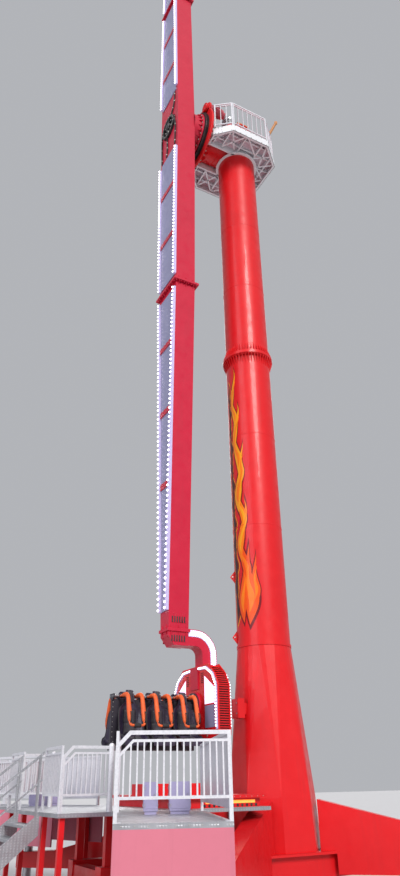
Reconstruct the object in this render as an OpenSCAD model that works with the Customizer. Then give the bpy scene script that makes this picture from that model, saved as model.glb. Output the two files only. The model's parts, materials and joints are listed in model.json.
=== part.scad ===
// Rotating arm thrill ride: a tubular mast carries a long box arm that turns
// about a level axis, with a gondola hanging from a curved neck at each end.
// Z is up, the ground is z = 0, the mast's axis is the origin and the arm's
// turning axis runs along X. The gondolas are at rest, hanging upright.

/* [Mast] */
// Outside diameter of the mast tube
mast_d = 1200; // [1100:10:1300]
// Wall of the mast tube
mast_wall = 25; // [15:1:40]
// Height at which the flared foot meets the tube
foot_top = 4600; // [4200:50:5600]
// Width of the foot at its base, across the flats
foot_w = 1720; // [1600:20:1900]
// Height of the bolted joint between the two tubes
joint_h = 12300; // [11000:50:13500]
// How far the joint's flange stands out of the tube
flange_out = 90; // [60:5:120]
// Thickness of each flange plate
flange_t = 45; // [30:1:60]
// Gusset ribs round each flange
gussets = 24; // [16:1:30]
// Height of a gusset rib
gusset_h = 210; // [120:10:300]
// Thickness of a gusset rib
gusset_t = 14; // [8:1:20]

/* [Mast head] */
// Radius of the level hub housing
housing_r = 850; // [780:10:880]
// Distance from the mast's axis to the housing's flange
housing_x = 1420; // [1340:10:1450]
// Radius of the housing's flange
head_flange_r = 1200; // [1100:10:1300]
// Thickness of the housing's flange
head_flange_t = 70; // [50:5:90]
// Outer radius of the slewing ring
slew_r = 1000; // [940:10:1060]
// Thickness of the slewing ring
slew_t = 110; // [80:5:130]
// Radius of the arm's main shaft
shaft_r = 600; // [500:10:700]
// Running clearance of a shaft in its bore
run_gap = 0.3; // [0.2:0.05:0.5]
// Gap between the slewing ring and the arm's hub drum
slew_gap = 8; // [6:1:15]
// Height of the mast's lid above the hub housing
lid_above = 60; // [40:5:90]
// Radius of a drive motor
motor_r = 160; // [120:5:180]
// Length of a drive motor
motor_l = 480; // [350:10:600]

/* [Head platform] */
// Depth of the platform's edge frame
head_deck_t = 300; // [200:10:400]
// Height of the platform floor below the turning axis
head_deck_drop = 330; // [250:10:420]
// Height of the platform's railing
head_rail_h = 1100; // [950:10:1200]
// Spacing of the platform's balusters
head_bar_pitch = 190; // [120:5:260]

/* [Arm] */
// Distance from the mast's axis to the arm's front face
arm_front = 2500; // [2450:10:2560]
// Depth of the arm at the hub
arm_d_hub = 600; // [560:10:640]
// Depth of the arm at its bolted joint
arm_d_joint = 570; // [520:10:590]
// Depth of the arm at its tip
arm_d_tip = 470; // [420:10:500]
// Width of the arm at the hub
arm_w_hub = 1240; // [1100:20:1300]
// Width of the arm at its bolted joint
arm_w_joint = 1040; // [960:10:1080]
// Width of the arm at its tip
arm_w_tip = 370; // [350:10:440]
// Distance from the turning axis to the bolted joint
joint_r = 6800; // [6000:50:7400]
// Distance from the turning axis to the arm's end
arm_r = 16360; // [15400:10:16600]
// Plate thickness of the arm's box
arm_wall = 14; // [8:1:20]
// How far the arm's flanges stand out
arm_flange_out = 85; // [50:5:100]
// Thickness of each of the arm's flange plates
arm_flange_t = 32; // [20:1:40]
// Height of the arm's gusset ribs
arm_gusset_h = 150; // [100:10:200]

/* [Light rails] */
// Width of a light rail
rail_w = 78; // [60:2:90]
// How far a light rail stands out of the arm's front face
rail_out = 62; // [40:2:80]
// Distance from the turning axis to the start of the light rails
rail_r0 = 1500; // [1350:10:2000]
// Distance from the end of the light rails to the arm's end
rail_short = 710; // [650:10:900]
// Length left free of panels and rails on each side of the arm's bolted joint
joint_free = 230; // [200:10:260]
// Thickness of the face panels
panel_t = 24; // [12:2:36]
// Height of a cross batten on the arm's face
batten_h = 150; // [80:10:200]
// How far a cross batten stands out of the arm's front face
batten_out = 45; // [40:1:58]
// Distance from the bolted joint to the nearest cross batten
batten_first = 1900; // [1500:50:2300]
// Spacing of the cross battens
batten_pitch = 2000; // [1700:50:2300]

/* [Neck] */
// Width and depth of the neck's box section
neck_w = 340; // [300:10:350]
// Inner radius of the neck's bend
neck_bend = 160; // [120:10:200]
// Distance from the mast's axis to the neck's near face
neck_x = 1340; // [1300:10:1380]

/* [Gondola shield] */
// Half of the shield's width
shield_hw = 950; // [880:10:1000]
// Thickness of the shield
shield_t = 280; // [240:10:290]
// Distance from the gondola's pivot to the shield's edge toward the arm
shield_up = 750; // [700:10:800]
// Distance from the gondola's pivot to the shield's outer edge
shield_down = 670; // [600:10:690]
// Spacing of the ribs on the shield's edges
rib_pitch = 44; // [38:1:80]

/* [Gondola] */
// Distance from the arm's end to the gondola's pivot
pivot_drop = 1140; // [1120:5:1180]
// Height of the lower gondola's pivot above the boarding deck
pivot_over_deck = 1800; // [1700:10:1950]
// Radius of the pivot shaft
pivot_shaft_r = 110; // [90:5:130]
// Seats in each row
row_seats = 3; // [2:1:3]
// Distance between seats
seat_pitch = 575; // [565:5:580]
// Width of a seat
seat_w = 520; // [480:5:530]
// Depth of a seat pan from back to front edge
seat_d = 470; // [430:10:480]
// Height of the seat pan below the pivot
seat_drop = 720; // [700:10:730]
// Height of the seat back above the pan
back_h = 720; // [680:10:740]
// Gap between the backs of the two rows
back_gap = 200; // [190:5:220]

/* [Harness] */
// Diameter of a harness tube
harness_d = 80; // [60:2:90]
// Spacing of a harness's two tubes
harness_w = 290; // [270:5:310]
// How far a harness reaches in front of its hinge
harness_out = 430; // [390:5:440]
// How far a harness hangs below its hinge
harness_drop = 640; // [600:10:660]

/* [Base] */
// Distance from the mast's axis to a foot pad, along X and along Y
pad_at = 3900; // [3600:50:4200]
// Width of a foot pad
pad_w = 700; // [600:20:800]
// Width of an outrigger beam
outrigger_w = 320; // [260:10:360]
// Depth of an outrigger beam where it meets the foot
outrigger_d = 1260; // [1100:20:1300]
// Depth of an outrigger beam at its jack
outrigger_tip_d = 280; // [240:10:320]
// Height of an outrigger beam's underside above the ground at its jack
outrigger_z = 320; // [280:10:360]
// Length of the level outer end of an outrigger beam
outrigger_end = 890; // [800:10:1000]
// Depth of a chassis beam
chassis_h = 420; // [360:10:460]
// Height of the underside of the chassis above the ground
chassis_z = 260; // [200:10:320]

/* [Station] */
// Height of the boarding deck
deck_h = 1500; // [1480:10:1600]
// Thickness of the deck plate
deck_t = 60; // [40:5:80]
// Width of a deck wing
wing_w = 1365; // [1300:5:1500]
// Length of a wing, from where the wings' centre lines meet
wing_l = 5606; // [5300:2:5800]
// Distance from the mast's axis to where the wings' centre lines meet
wing_x = 2665; // [2600:5:2720]
// Angle of the wings to the Y axis
wing_a = 22.5; // [20:0.5:25]
// Height of the station's railings
st_rail_h = 950; // [900:10:980]
// Spacing of the balusters
bar_pitch = 78; // [74:1:110]
// Half of the width of the deck's middle
mid_hw = 1650; // [1500:10:1700]
// Distance from the mast's axis to the deck's edge above the stairs
walk_out = 5050; // [4900:10:5200]
// Height of the raised boarding floor above the deck
step_h = 190; // [150:5:210]
// Half of the length of the raised boarding floor across the ride
step_hw = 1600; // [1400:10:1640]
// Width of the stairs
stair_w = 1400; // [1200:20:1500]
// Depth of a stair tread
tread_d = 240; // [220:5:300]
// Risers from the ground to the deck
risers = 8; // [7:1:9]

/* [Hidden] */
$fn = 64;
eps = 1;
red = [0.80, 0.08, 0.11];
pale = [0.85, 0.86, 0.90];
mast_r = mast_d / 2;
pivot_r = arm_r + pivot_drop;
hub_h = deck_h + pivot_over_deck + pivot_r;
rail_r1 = arm_r - rail_short;
shield_r0 = pivot_r - shield_up;
shield_r1 = pivot_r + shield_down;

// Places along X
arm_x = -arm_front;
head_face_x = -(housing_x + head_flange_t);
slew_face_x = head_face_x - slew_t;
arm_back_hub = arm_x + arm_d_hub;

// Places of the arm's end and of the neck, measured outward from the turning axis
end_flange_r = arm_r - 310;
neck_r0 = arm_r - neck_w - 10;
bend_r = neck_r0 + neck_w + neck_bend;
bend_x = -(neck_x + neck_w + neck_bend);
shield_x0 = -(neck_x + 440);
shield_x1 = shield_x0 + shield_t;

// Places in the gondola, measured from its pivot
row_x0 = shield_x0 - 90;
row_l = row_seats * seat_pitch + 30;
back_t = 90;
pan_t = 110;
hinge_y = back_gap / 2 - 45;
hinge_z = back_h - seat_drop + 110;
hinge_r = 26;
spine_gap = 6;
spine_t = 2 * (hinge_y - hinge_r - spine_gap);

// Turns a profile given as [Y, Z] into a solid of thickness t from x0 toward +X
module plate_yz(x0, t) translate([x0, 0, 0]) rotate([90, 0, 90]) linear_extrude(t) children();
// Turns a profile given as [X, Z] into a solid of thickness t, centred on y0
module plate_xz(y0, t) translate([0, y0, 0]) rotate([90, 0, 0]) linear_extrude(t, center = true) children();
// A cylinder along X from x0 to x1
module bar_x(x0, x1, r) translate([x0, 0, 0]) rotate([0, 90, 0]) cylinder(r = r, h = x1 - x0);
module both_sides() {
    children();
    mirror([0, 1, 0]) children();
}

// Tube with a bolted flange and gusset ribs. up = 1 puts the ribs above the flange.
module tube_flange(z, up) {
    translate([0, 0, up > 0 ? z : z - flange_t]) difference() {
        cylinder(r = mast_r + flange_out, h = flange_t);
        translate([0, 0, -eps]) cylinder(r = mast_r - mast_wall, h = flange_t + 2 * eps);
    }
    for (i = [0 : gussets - 1])
        rotate([0, 0, (i + 0.5) * 360 / gussets])
            plate_xz(0, gusset_t)
                polygon([[mast_r - mast_wall / 2, z + up * flange_t / 2],
                    [mast_r + flange_out - 8, z + up * flange_t / 2],
                    [mast_r + flange_out - 8, z + up * (flange_t + 30)],
                    [mast_r - mast_wall / 2, z + up * (flange_t + gusset_h)]]);
}

module mast_tube(z0, z1) {
    translate([0, 0, z0]) difference() {
        cylinder(r = mast_r, h = z1 - z0);
        translate([0, 0, -eps]) cylinder(r = mast_r - mast_wall, h = z1 - z0 + 2 * eps);
    }
}

// Small lifting lug on the side of the mast
lug_a = 154;
lug_up = [200, 1600];
module mast_lug(z, a, r) {
    rotate([0, 0, a]) plate_xz(0, 30)
        polygon([[r - 10, z - 160], [r + 110, z], [r - 10, z + 160]]);
}

foot_z0 = chassis_z + chassis_h;
module foot_form(grow, z0, z1) {
    hull() {
        translate([0, 0, z0]) rotate([0, 0, 22.5])
            cylinder(r = (foot_w / 2 + grow) / cos(22.5), h = 20, $fn = 8);
        translate([0, 0, z0 + 900]) rotate([0, 0, 22.5])
            cylinder(r = (foot_w / 2 + grow - 30) / cos(22.5), h = 20, $fn = 8);
        translate([0, 0, z1 - 20]) cylinder(r = mast_r + grow, h = 20, $fn = 32);
    }
}
module mast_foot() {
    color(red) {
        difference() {
            foot_form(0, foot_z0, foot_top);
            foot_form(-40, foot_z0 - 30, foot_top + 30);
        }
        translate([0, 0, foot_top - 60]) difference() {
            cylinder(r = mast_r + 18, h = 60);
            translate([0, 0, -eps]) cylinder(r = mast_r - mast_wall, h = 60 + 2 * eps);
        }
    }
}
module mast_lower() {
    color(red) {
        mast_tube(foot_top, joint_h);
        tube_flange(joint_h, -1);
        for (up = lug_up) mast_lug(foot_top + up, lug_a, mast_r);
    }
}
mast_top = hub_h + housing_r + lid_above;
module mast_upper() {
    color(red) {
        mast_tube(joint_h, mast_top);
        tube_flange(joint_h, 1);
        translate([0, 0, mast_top - 5]) cylinder(r = mast_r + 25, h = 35);
    }
}

module mast_head() {
    color(red) translate([0, 0, hub_h]) {
        difference() {
            union() {
                bar_x(-housing_x, 0, housing_r);
                bar_x(-housing_x - head_flange_t, -housing_x, head_flange_r);
                for (i = [0 : 11]) rotate([i * 30, 0, 0]) plate_xz(0, 20)
                    polygon([[-housing_x - 10, housing_r - 20], [-housing_x - 10, head_flange_r - 20],
                        [-housing_x + 8, head_flange_r - 20], [-housing_x + 55, housing_r - 20]]);
            }
            bar_x(-housing_x - head_flange_t - eps, -mast_r, shaft_r + 120);
            translate([0, 0, -2000]) cylinder(r = mast_r, h = 4000);
        }
    }
}
module slew_ring() {
    color("dimgray") translate([0, 0, hub_h]) difference() {
        bar_x(slew_face_x, head_face_x, slew_r);
        bar_x(slew_face_x - eps, head_face_x + eps, shaft_r + run_gap);
    }
}
module drive_motors() {
    color([0.85, 0.25, 0.3]) translate([0, 0, hub_h])
        for (s = [-1, 1]) rotate([s * 45, 0, 0]) translate([0, 0, housing_r + motor_r + 12]) {
            bar_x(-housing_x + run_gap, -housing_x + motor_l, motor_r);
            bar_x(-housing_x + motor_l - 30, -housing_x + motor_l + 90, motor_r * 0.7);
        }
}

// Plan of the head platform's edge, near side, from the arm's side round to the end
head_hw = 1290;
head_l = 1360;
function head_edge() = [[-head_l, -860], [-1180, -1000], [-860, -head_hw], [450, -head_hw], [1080, -720]];
module head_plan(inset) {
    offset(delta = -inset)
        polygon(concat(head_edge(), [for (i = [4 : -1 : 0]) [head_edge()[i][0], -head_edge()[i][1]]]));
}
head_floor = hub_h - head_deck_drop;
floor_t = 40;
joist_t = 50;
joist_h = 200;
joist_x = [-1150, -820, 820];
joist_y = [-950, 0, 950];
joist_in = 40;
collar_w = 90;
module head_deck() {
    color(pale) difference() {
        union() {
            translate([0, 0, head_floor - head_deck_t]) linear_extrude(head_deck_t) difference() {
                head_plan(0);
                head_plan(45);
            }
            translate([0, 0, head_floor - floor_t]) linear_extrude(floor_t) head_plan(10);
            // joists under the floor, each way
            translate([0, 0, head_floor - joist_h]) linear_extrude(joist_h) intersection() {
                head_plan(joist_in);
                union() {
                    for (x = joist_x) translate([x - joist_t / 2, -head_hw]) square([joist_t, 2 * head_hw]);
                    for (y = joist_y) translate([-head_l, y - joist_t / 2]) square([2 * head_l, joist_t]);
                }
            }
            translate([0, 0, head_floor - head_deck_t + 20]) cylinder(r = mast_r + collar_w, h = head_deck_t - 40);
        }
        // the hub housing and the mast pass through
        translate([0, 0, hub_h]) bar_x(-housing_x, 0, housing_r);
        cylinder(r = mast_r, h = mast_top);
        translate([-head_l, -housing_r + 20, head_floor - head_deck_t - eps])
            cube([head_l - mast_r + 50, 2 * housing_r - 40, head_deck_t + 2 * eps]);
    }
}

// Flat railing panel in the X-Z plane, from x = 0 to x = l, standing on z = 0.
// cut is the size of the sloped corner at its far end.
module railing_2d(l, h, pitch, bar, toe, cut) {
    frame = 45;
    n = max(1, round((l - frame) / pitch));
    step = (l - frame) / n;
    // end posts
    square([frame, h - 5]);
    translate([l - frame, 0]) square([frame, h - cut - 5]);
    // top rail and second rail, each given by its depth below the top and its thickness
    for (d = [[0, frame], [95, 30]]) {
        k = l - cut - (cut > 0 ? 0.4 * d[0] : 0);
        polygon(cut > 0
            ? [[0, h - d[0] - d[1]], [0, h - d[0]], [k, h - d[0]], [l, h - d[0] - (l - k)],
                [l, h - d[0] - (l - k) - 1.4 * d[1]], [k - 0.4 * d[1], h - d[0] - d[1]]]
            : [[0, h - d[0] - d[1]], [0, h - d[0]], [l, h - d[0]], [l, h - d[0] - d[1]]]);
    }
    translate([0, toe]) square([l, 32]);
    for (i = [1 : n - 1]) {
        x = i * step + frame / 2;
        top = h - 95 - 22 - (cut > 0 ? max(0, x + bar / 2 - (l - cut - 38)) : 0);
        translate([x - bar / 2, toe + 5]) square([bar, top - toe - 5]);
    }
}
module railing(l, h, pitch, bar = 18, toe = 150, cut = 160, t = 34) {
    plate_xz(0, t) railing_2d(l, h, pitch, bar, toe, cut);
}
// Places children so that their X axis runs from a to b
module along(a, b) {
    translate([a[0], a[1], a[2]]) rotate([0, 0, atan2(b[1] - a[1], b[0] - a[0])]) children();
}
function dist(a, b) = norm([b[0] - a[0], b[1] - a[1]]);

// One run of platform railing along the edge, inset from the fascia
module head_run(a, b) {
    along([a[0], a[1], head_floor], [b[0], b[1], head_floor])
        railing(dist(a, b), head_rail_h, head_bar_pitch, 20, 90, 0, 30);
}
head_in = 30;
hp = [[-1330, -880 - head_in], [-840, -head_hw + head_in], [440, -head_hw + head_in], [1050, -710]];
module head_rail_near() {
    color(pale) for (i = [0 : 2]) head_run(hp[i], hp[i + 1]);
}
module head_rail_far() {
    color(pale) mirror([0, 1, 0]) for (i = [0 : 2]) head_run(hp[i], hp[i + 1]);
}
module head_rail_end() {
    color(pale) head_run([1050, -670], [1050, 670]);
}
module davit_pole() {
    color([0.75, 0.5, 0.3]) translate([940, -600, head_floor]) {
        cylinder(r = 70, h = 30);
        cylinder(r = 42, h = 1500);
        translate([0, 0, 1440]) rotate([0, 62, -35]) cylinder(r = 34, h = 620);
        translate([0, 0, 1440]) sphere(r = 52);
    }
}
module junction_box() {
    color(red) difference() {
        union() {
            translate([-mast_r - 330, -300, 3060]) cube([160, 260, 380]);
            translate([-mast_r - 180, -240, 3140]) cube([180, 140, 220]);
        }
        foot_form(0, foot_z0, foot_top);
    }
}

// Boxes of the chassis
module beam(x0, x1, y, w, z0, h) {
    translate([x0, y - w / 2, z0]) cube([x1 - x0, w, h]);
}
chassis_y = foot_w / 2 - 150;
chassis_x = [-4000, 1800];
chassis_cross = [-3850, -2300];
module base_frame() {
    color(red) {
        for (y = [-chassis_y, chassis_y]) beam(chassis_x[0], chassis_x[1], y, 260, chassis_z, chassis_h);
        for (x = concat(chassis_cross, [1650])) translate([x - 130, -chassis_y, chassis_z])
            cube([260, 2 * chassis_y, chassis_h - 60]);
        translate([0, 0, chassis_z + chassis_h - 40]) linear_extrude(40) square(foot_w + 240, center = true);
        translate([0, 0, chassis_z]) linear_extrude(chassis_h) square(foot_w, center = true);
        cylinder(r = 620, h = 60);
        translate([0, 0, 60]) cylinder(r = 420, h = chassis_z - 40);
    }
}
// Outrigger beam: sloped box from the foot out to its jack
out_r = pad_at * sqrt(2);
out_tip = out_r + 190;
jack_r = 90;
jack_top = outrigger_z + outrigger_tip_d + 300;
module outrigger() {
    root_z = chassis_z + 40;
    plate_xz(0, outrigger_w) polygon([[foot_w / 2 + 60, root_z], [out_tip - outrigger_end - 200, outrigger_z],
        [out_tip, outrigger_z], [out_tip, outrigger_z + outrigger_tip_d],
        [out_tip - outrigger_end, outrigger_z + outrigger_tip_d + 40], [foot_w / 2 + 60, root_z + outrigger_d]]);
}
module outriggers() {
    color(red) difference() {
        for (a = [45 : 90 : 315]) rotate([0, 0, a]) outrigger();
        for (a = [45 : 90 : 315]) rotate([0, 0, a]) translate([out_r, 0, 0])
            cylinder(r = jack_r, h = jack_top);
        foot_form(0.3, foot_z0 - 40, foot_top);
        translate([0, 0, chassis_z - 20]) linear_extrude(chassis_h + 20.3) square(foot_w + 240.6, center = true);
        for (y = [-chassis_y, chassis_y])
            beam(chassis_x[0] - 0.3, chassis_x[1] + 0.3, y, 260.6, chassis_z - 20, chassis_h + 20.3);
    }
}
module foot_pads() {
    for (a = [45 : 90 : 315]) rotate([0, 0, a]) translate([out_r, 0, 0]) {
        color("dimgray") translate([-pad_w / 2, -pad_w / 2, 0]) cube([pad_w, pad_w, 50]);
        color("silver") translate([0, 0, 50]) cylinder(r = 150, h = 60);
        color("silver") cylinder(r = jack_r, h = jack_top);
        color("silver") translate([0, 0, jack_top - 60]) cylinder(r = 120, h = 90);
    }
}

// Station. The wings leave the middle at an angle, one each way.
deck_x0 = -1150;
walk_x = -walk_out;
wing_dir = [-sin(wing_a), -cos(wing_a)];
wing_side = [-cos(wing_a), sin(wing_a)];
wing_end = [-wing_x, 0] + wing_dir * wing_l;
wing_p1 = wing_end - wing_side * wing_w / 2;
wing_p2 = wing_end + wing_side * wing_w / 2;
function back_from(p, t) = p - wing_dir * t;
// Where a side of the wing meets the edge of the deck's middle
function at_mid(p) = back_from(p, (-mid_hw - p[1]) / cos(wing_a));
function deck_half() = [[deck_x0, -mid_hw], at_mid(wing_p1), wing_p1, wing_p2, at_mid(wing_p2),
    [walk_x, -mid_hw]];
module deck_plan() {
    near = deck_half();
    polygon(concat(near, [for (i = [len(near) - 1 : -1 : 0]) [near[i][0], -near[i][1]]]));
}
module station_deck() {
    color("gray") translate([0, 0, deck_h - deck_t]) linear_extrude(deck_t) deck_plan();
}
module leg(x, y) {
    translate([x - 40, y - 40, 12]) cube([80, 80, deck_h - deck_t - 12]);
    translate([x - 110, y - 110, 0]) cube([220, 220, 12]);
}
leg_back = 3100;
module station_legs() {
    color(red) for (s = [-1, 1]) {
        for (t = [90, leg_back]) {
            a = back_from(wing_p1, t) + wing_side * 90;
            b = back_from(wing_p2, t) - wing_side * 90;
            leg(a[0], s * a[1]);
            leg(b[0], s * b[1]);
        }
        for (y = [stair_w / 2 - 60, mid_hw - 100]) leg(walk_x + 100, s * y);
        // posts that carry the deck's middle on the chassis
        for (x = chassis_cross) translate([x - 60, s * chassis_y - 60, chassis_z + chassis_h])
            cube([120, 120, deck_h - deck_t - chassis_z - chassis_h]);
    }
}
skirt_t = 30;
skirt_z = 820;
skirt_l = 3500;
skirt_off = 0.3;
skirt_d = deck_h - deck_t - skirt_z - skirt_off;
// Skirt panels hang a hair under the deck's edge and clear the outriggers
module skirt_run(a, b) {
    along([a[0], a[1], skirt_z], [b[0], b[1], skirt_z]) cube([dist(a, b), skirt_t, skirt_d]);
}
module station_skirt() {
    color([0.85, 0.7, 0.72]) both_sides() {
        skirt_run(wing_p2, wing_p1);
        skirt_run(back_from(wing_p2, skirt_l), back_from(wing_p2, 40));
        skirt_run(back_from(wing_p1, 40), back_from(wing_p1, skirt_l));
    }
}
// Raised boarding floor under the gondola: a slab that overhangs a set-back riser, and a
// low box along its middle
step_x = [-3000, -1200];
step_t = 50;
step_in = 90;
guard_h = 190;
guard_hw = 450;
module boarding_plinth() {
    l = step_x[1] - step_x[0];
    color(red) translate([step_x[0], 0, deck_h]) {
        translate([0, -step_hw, step_h - step_t]) cube([l, 2 * step_hw, step_t]);
        translate([step_in, -step_hw + step_in, 0])
            cube([l - 2 * step_in, 2 * (step_hw - step_in), step_h]);
        translate([50, -guard_hw, step_h]) cube([l - 600, 2 * guard_hw, guard_h]);
    }
}
// Small cabinets that stand on each wing, each given by its distance back from the wing's
// end, its place across the wing, its width and its depth
cabinet_h = 410;
cabinet_set = [[2350, 190, 200, 300], [2350, -230, 300, 300]];
module cabinet(w, d) {
    plinth = 40;
    translate([-w / 2 + 15, -d / 2 + 15, 0]) cube([w - 30, d - 30, plinth]);
    translate([-w / 2, -d / 2, plinth]) cube([w, d, cabinet_h - plinth]);
}
module cabinets() {
    color([0.62, 0.6, 0.75]) both_sides() for (c = cabinet_set) {
        p = back_from(wing_end, c[0]) + wing_side * c[1];
        translate([p[0], p[1], deck_h]) rotate([0, 0, -wing_a]) cabinet(c[2], c[3]);
    }
}
module front_rail() {
    along([wing_p1[0], wing_p1[1], deck_h], [wing_p2[0], wing_p2[1], deck_h]) translate([0, -20, 0])
        railing(wing_w, st_rail_h, bar_pitch, 18, 230);
}
module rail_front_near() {
    color("white") front_rail();
}
module rail_front_far() {
    color("white") mirror([0, 1, 0]) front_rail();
}
side_rail_l = 3300;
module side_rails() {
    // outer side, with balusters
    a = back_from(wing_p2, side_rail_l + 30);
    b = back_from(wing_p2, 60);
    along([b[0], b[1], deck_h], [a[0], a[1], deck_h]) translate([0, -20, 0])
        railing(side_rail_l, st_rail_h, bar_pitch, 18, 230);
    // mast side, closed with a sheet
    c = back_from(wing_p1, 60);
    d = back_from(wing_p1, side_rail_l + 30);
    along([c[0], c[1], deck_h], [d[0], d[1], deck_h]) translate([0, 20, 0]) {
        translate([0, -20, 0]) cube([45, 40, st_rail_h]);
        translate([side_rail_l - 45, -20, 0]) cube([45, 40, st_rail_h]);
        translate([0, -20, st_rail_h - 45]) cube([side_rail_l, 40, 45]);
        translate([0, -6, 120]) cube([side_rail_l, 12, st_rail_h - 150]);
    }
}
module rail_sides_near() {
    color("white") side_rails();
}
module rail_sides_far() {
    color("white") mirror([0, 1, 0]) side_rails();
}
walk_post_x = -4200;
walk_post_r = 45;
// Railings round the deck's outer end, beside the stairs, each with a round-topped post
module walkway_rails() {
    y = -mid_hw + 45;
    color("white") both_sides() {
        translate([walk_post_x, y, deck_h]) {
            cylinder(r = walk_post_r, h = st_rail_h);
            translate([0, 0, st_rail_h]) sphere(r = walk_post_r);
            mirror([1, 0, 0]) railing(walk_post_x - walk_x - 25, st_rail_h, bar_pitch, 18, 230);
        }
        along([walk_x + 25, y, deck_h], [walk_x + 25, 0, deck_h])
            railing(mid_hw - 45 - stair_w / 2, st_rail_h, bar_pitch, 18, 230, 0);
    }
}
rise = deck_h / risers;
stair_l = tread_d * (risers - 1);
module station_stairs() {
    color("silver") {
        for (i = [1 : risers - 1])
            translate([walk_x - i * tread_d, -stair_w / 2 + 60, deck_h - i * rise - 40])
                cube([tread_d + 20, stair_w - 120, 40]);
        both_sides() plate_xz(-stair_w / 2 + 35, 50)
            polygon([[walk_x, deck_h - 20], [walk_x, deck_h - 330], [walk_x - stair_l + 230, 0],
                [walk_x - stair_l - 90, 0], [walk_x - stair_l - 90, rise - 20]]);
        both_sides() plate_xz(-stair_w / 2 + 35, 40) union() {
            for (t = [0.02, 0.5, 0.94])
                translate([walk_x - t * stair_l - 45, deck_h - t * (deck_h - rise) - 80]) square([42, 950]);
            polygon([[walk_x, deck_h + 900], [walk_x, deck_h + 855],
                [walk_x - stair_l - 60, rise + 815], [walk_x - stair_l - 60, rise + 860]]);
            polygon([[walk_x, deck_h + 480], [walk_x, deck_h + 450],
                [walk_x - stair_l - 60, rise + 410], [walk_x - stair_l - 60, rise + 440]]);
        }
    }
}

// Half width and depth of the arm at a distance r from its turning axis
function arm_hw(r) = (r < joint_r ? arm_w_hub + (arm_w_joint - arm_w_hub) * r / joint_r
    : arm_w_joint + (arm_w_tip - arm_w_joint) * (r - joint_r) / (arm_r - joint_r)) / 2;
function arm_dep(r) = r < joint_r ? arm_d_hub + (arm_d_joint - arm_d_hub) * r / joint_r
    : arm_d_joint + (arm_d_tip - arm_d_joint) * (r - joint_r) / (arm_r - joint_r);

// Straight length of box arm that hangs from r0 to r1 below the turning axis
module arm_form(r0, r1, in) {
    intersection() {
        plate_yz(arm_x + in, arm_d_hub - 2 * in + 500)
            polygon([[-arm_hw(r0) + in, -r0 - in], [arm_hw(r0) - in, -r0 - in],
                [arm_hw(r1) - in, -r1 + in], [-arm_hw(r1) + in, -r1 + in]]);
        plate_xz(0, arm_w_hub + 500)
            polygon([[arm_x + in, -r0 - in], [arm_x + arm_dep(r0) - in, -r0 - in],
                [arm_x + arm_dep(r1) - in, -r1 + in], [arm_x + in, -r1 + in]]);
    }
}
module arm_box(r0, r1) {
    difference() {
        arm_form(r0, r1, 0);
        arm_form(r0, r1, arm_wall);
    }
}
// Flange plate at r, lying outward (up = -1) or inward (up = 1) of it, with ribs
module arm_flange(r, up, out = arm_flange_out) {
    w = arm_hw(r) + out;
    d = arm_dep(r) + 2 * out;
    translate([arm_x - out, -w, up > 0 ? -r : -r - arm_flange_t]) cube([d, 2 * w, arm_flange_t]);
    zr = -r + up * arm_flange_t / 2;
    zs = -r + up * (arm_flange_t + 25);
    zt = -r + up * (arm_flange_t + arm_gusset_h);
    for (s = [-1, 1]) {
        for (k = [0.12, 0.5, 0.88]) translate([arm_x + arm_dep(r) * k, 0, 0])
            plate_yz(-6, 12) polygon([[s * (arm_hw(r) - 20), zr], [s * (w - 6), zr],
                [s * (w - 6), zs], [s * (arm_hw(r) - 20), zt]]);
    }
    n = max(2, round(arm_hw(r) * 2 / 240));
    for (i = [0 : n - 1]) {
        y = (i + 0.5 - n / 2) * 2 * arm_hw(r) / n;
        plate_xz(y, 12) polygon([[arm_x + 20, zr], [arm_x - out + 6, zr], [arm_x - out + 6, zs],
            [arm_x + 20, zt]]);
        plate_xz(y, 12) polygon([[arm_x + arm_dep(r) - 20, zr], [arm_x + arm_dep(r) + out - 6, zr],
            [arm_x + arm_dep(r) + out - 6, zs], [arm_x + arm_dep(r) - 20, zt]]);
    }
}
module at_hub(half) {
    translate([0, 0, hub_h]) rotate([half > 0 ? 180 : 0, 0, 0]) children();
}
module both_halves() {
    at_hub(-1) children();
    at_hub(1) children();
}
hub_hole_r = 430;
module arm_centre() {
    color(red) difference() {
        both_halves() {
            arm_box(0, joint_r);
            arm_flange(joint_r, 1);
        }
        translate([0, 0, hub_h]) bar_x(arm_x - 10, arm_x + 120, hub_hole_r);
    }
    color(red) translate([0, 0, hub_h]) difference() {
        bar_x(arm_x + 1, arm_x + 130, hub_hole_r + 20);
        bar_x(arm_x - 10, arm_x + 120, hub_hole_r);
    }
}
// Arm length outboard of the joint, with the end block that carries the neck
module arm_outer() {
    arm_box(joint_r, end_flange_r);
    arm_flange(joint_r, -1);
    // end block, with its outer front corner cut away
    intersection() {
        arm_form(end_flange_r, arm_r, 0);
        plate_xz(0, 2 * arm_w_tip) polygon([[arm_x - 100, -end_flange_r], [arm_back_hub, -end_flange_r],
            [arm_back_hub, -arm_r], [arm_x + 140, -arm_r], [arm_x, -arm_r + 190], [arm_x - 100, -arm_r + 190]]);
    }
    arm_flange(end_flange_r, 1, 28);
    arm_flange(end_flange_r, -1, 28);
}
module arm_lower() {
    color(red) at_hub(-1) arm_outer();
}
module arm_upper() {
    color(red) at_hub(1) arm_outer();
}
module arm_shaft() {
    color("silver") difference() {
        translate([0, 0, hub_h]) {
            bar_x(arm_back_hub - 30, slew_face_x - slew_gap, slew_r - 60);
            bar_x(slew_face_x - slew_gap - 1, head_face_x + 60, shaft_r);
        }
        both_halves() arm_form(0, joint_r, 0);
    }
}

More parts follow.
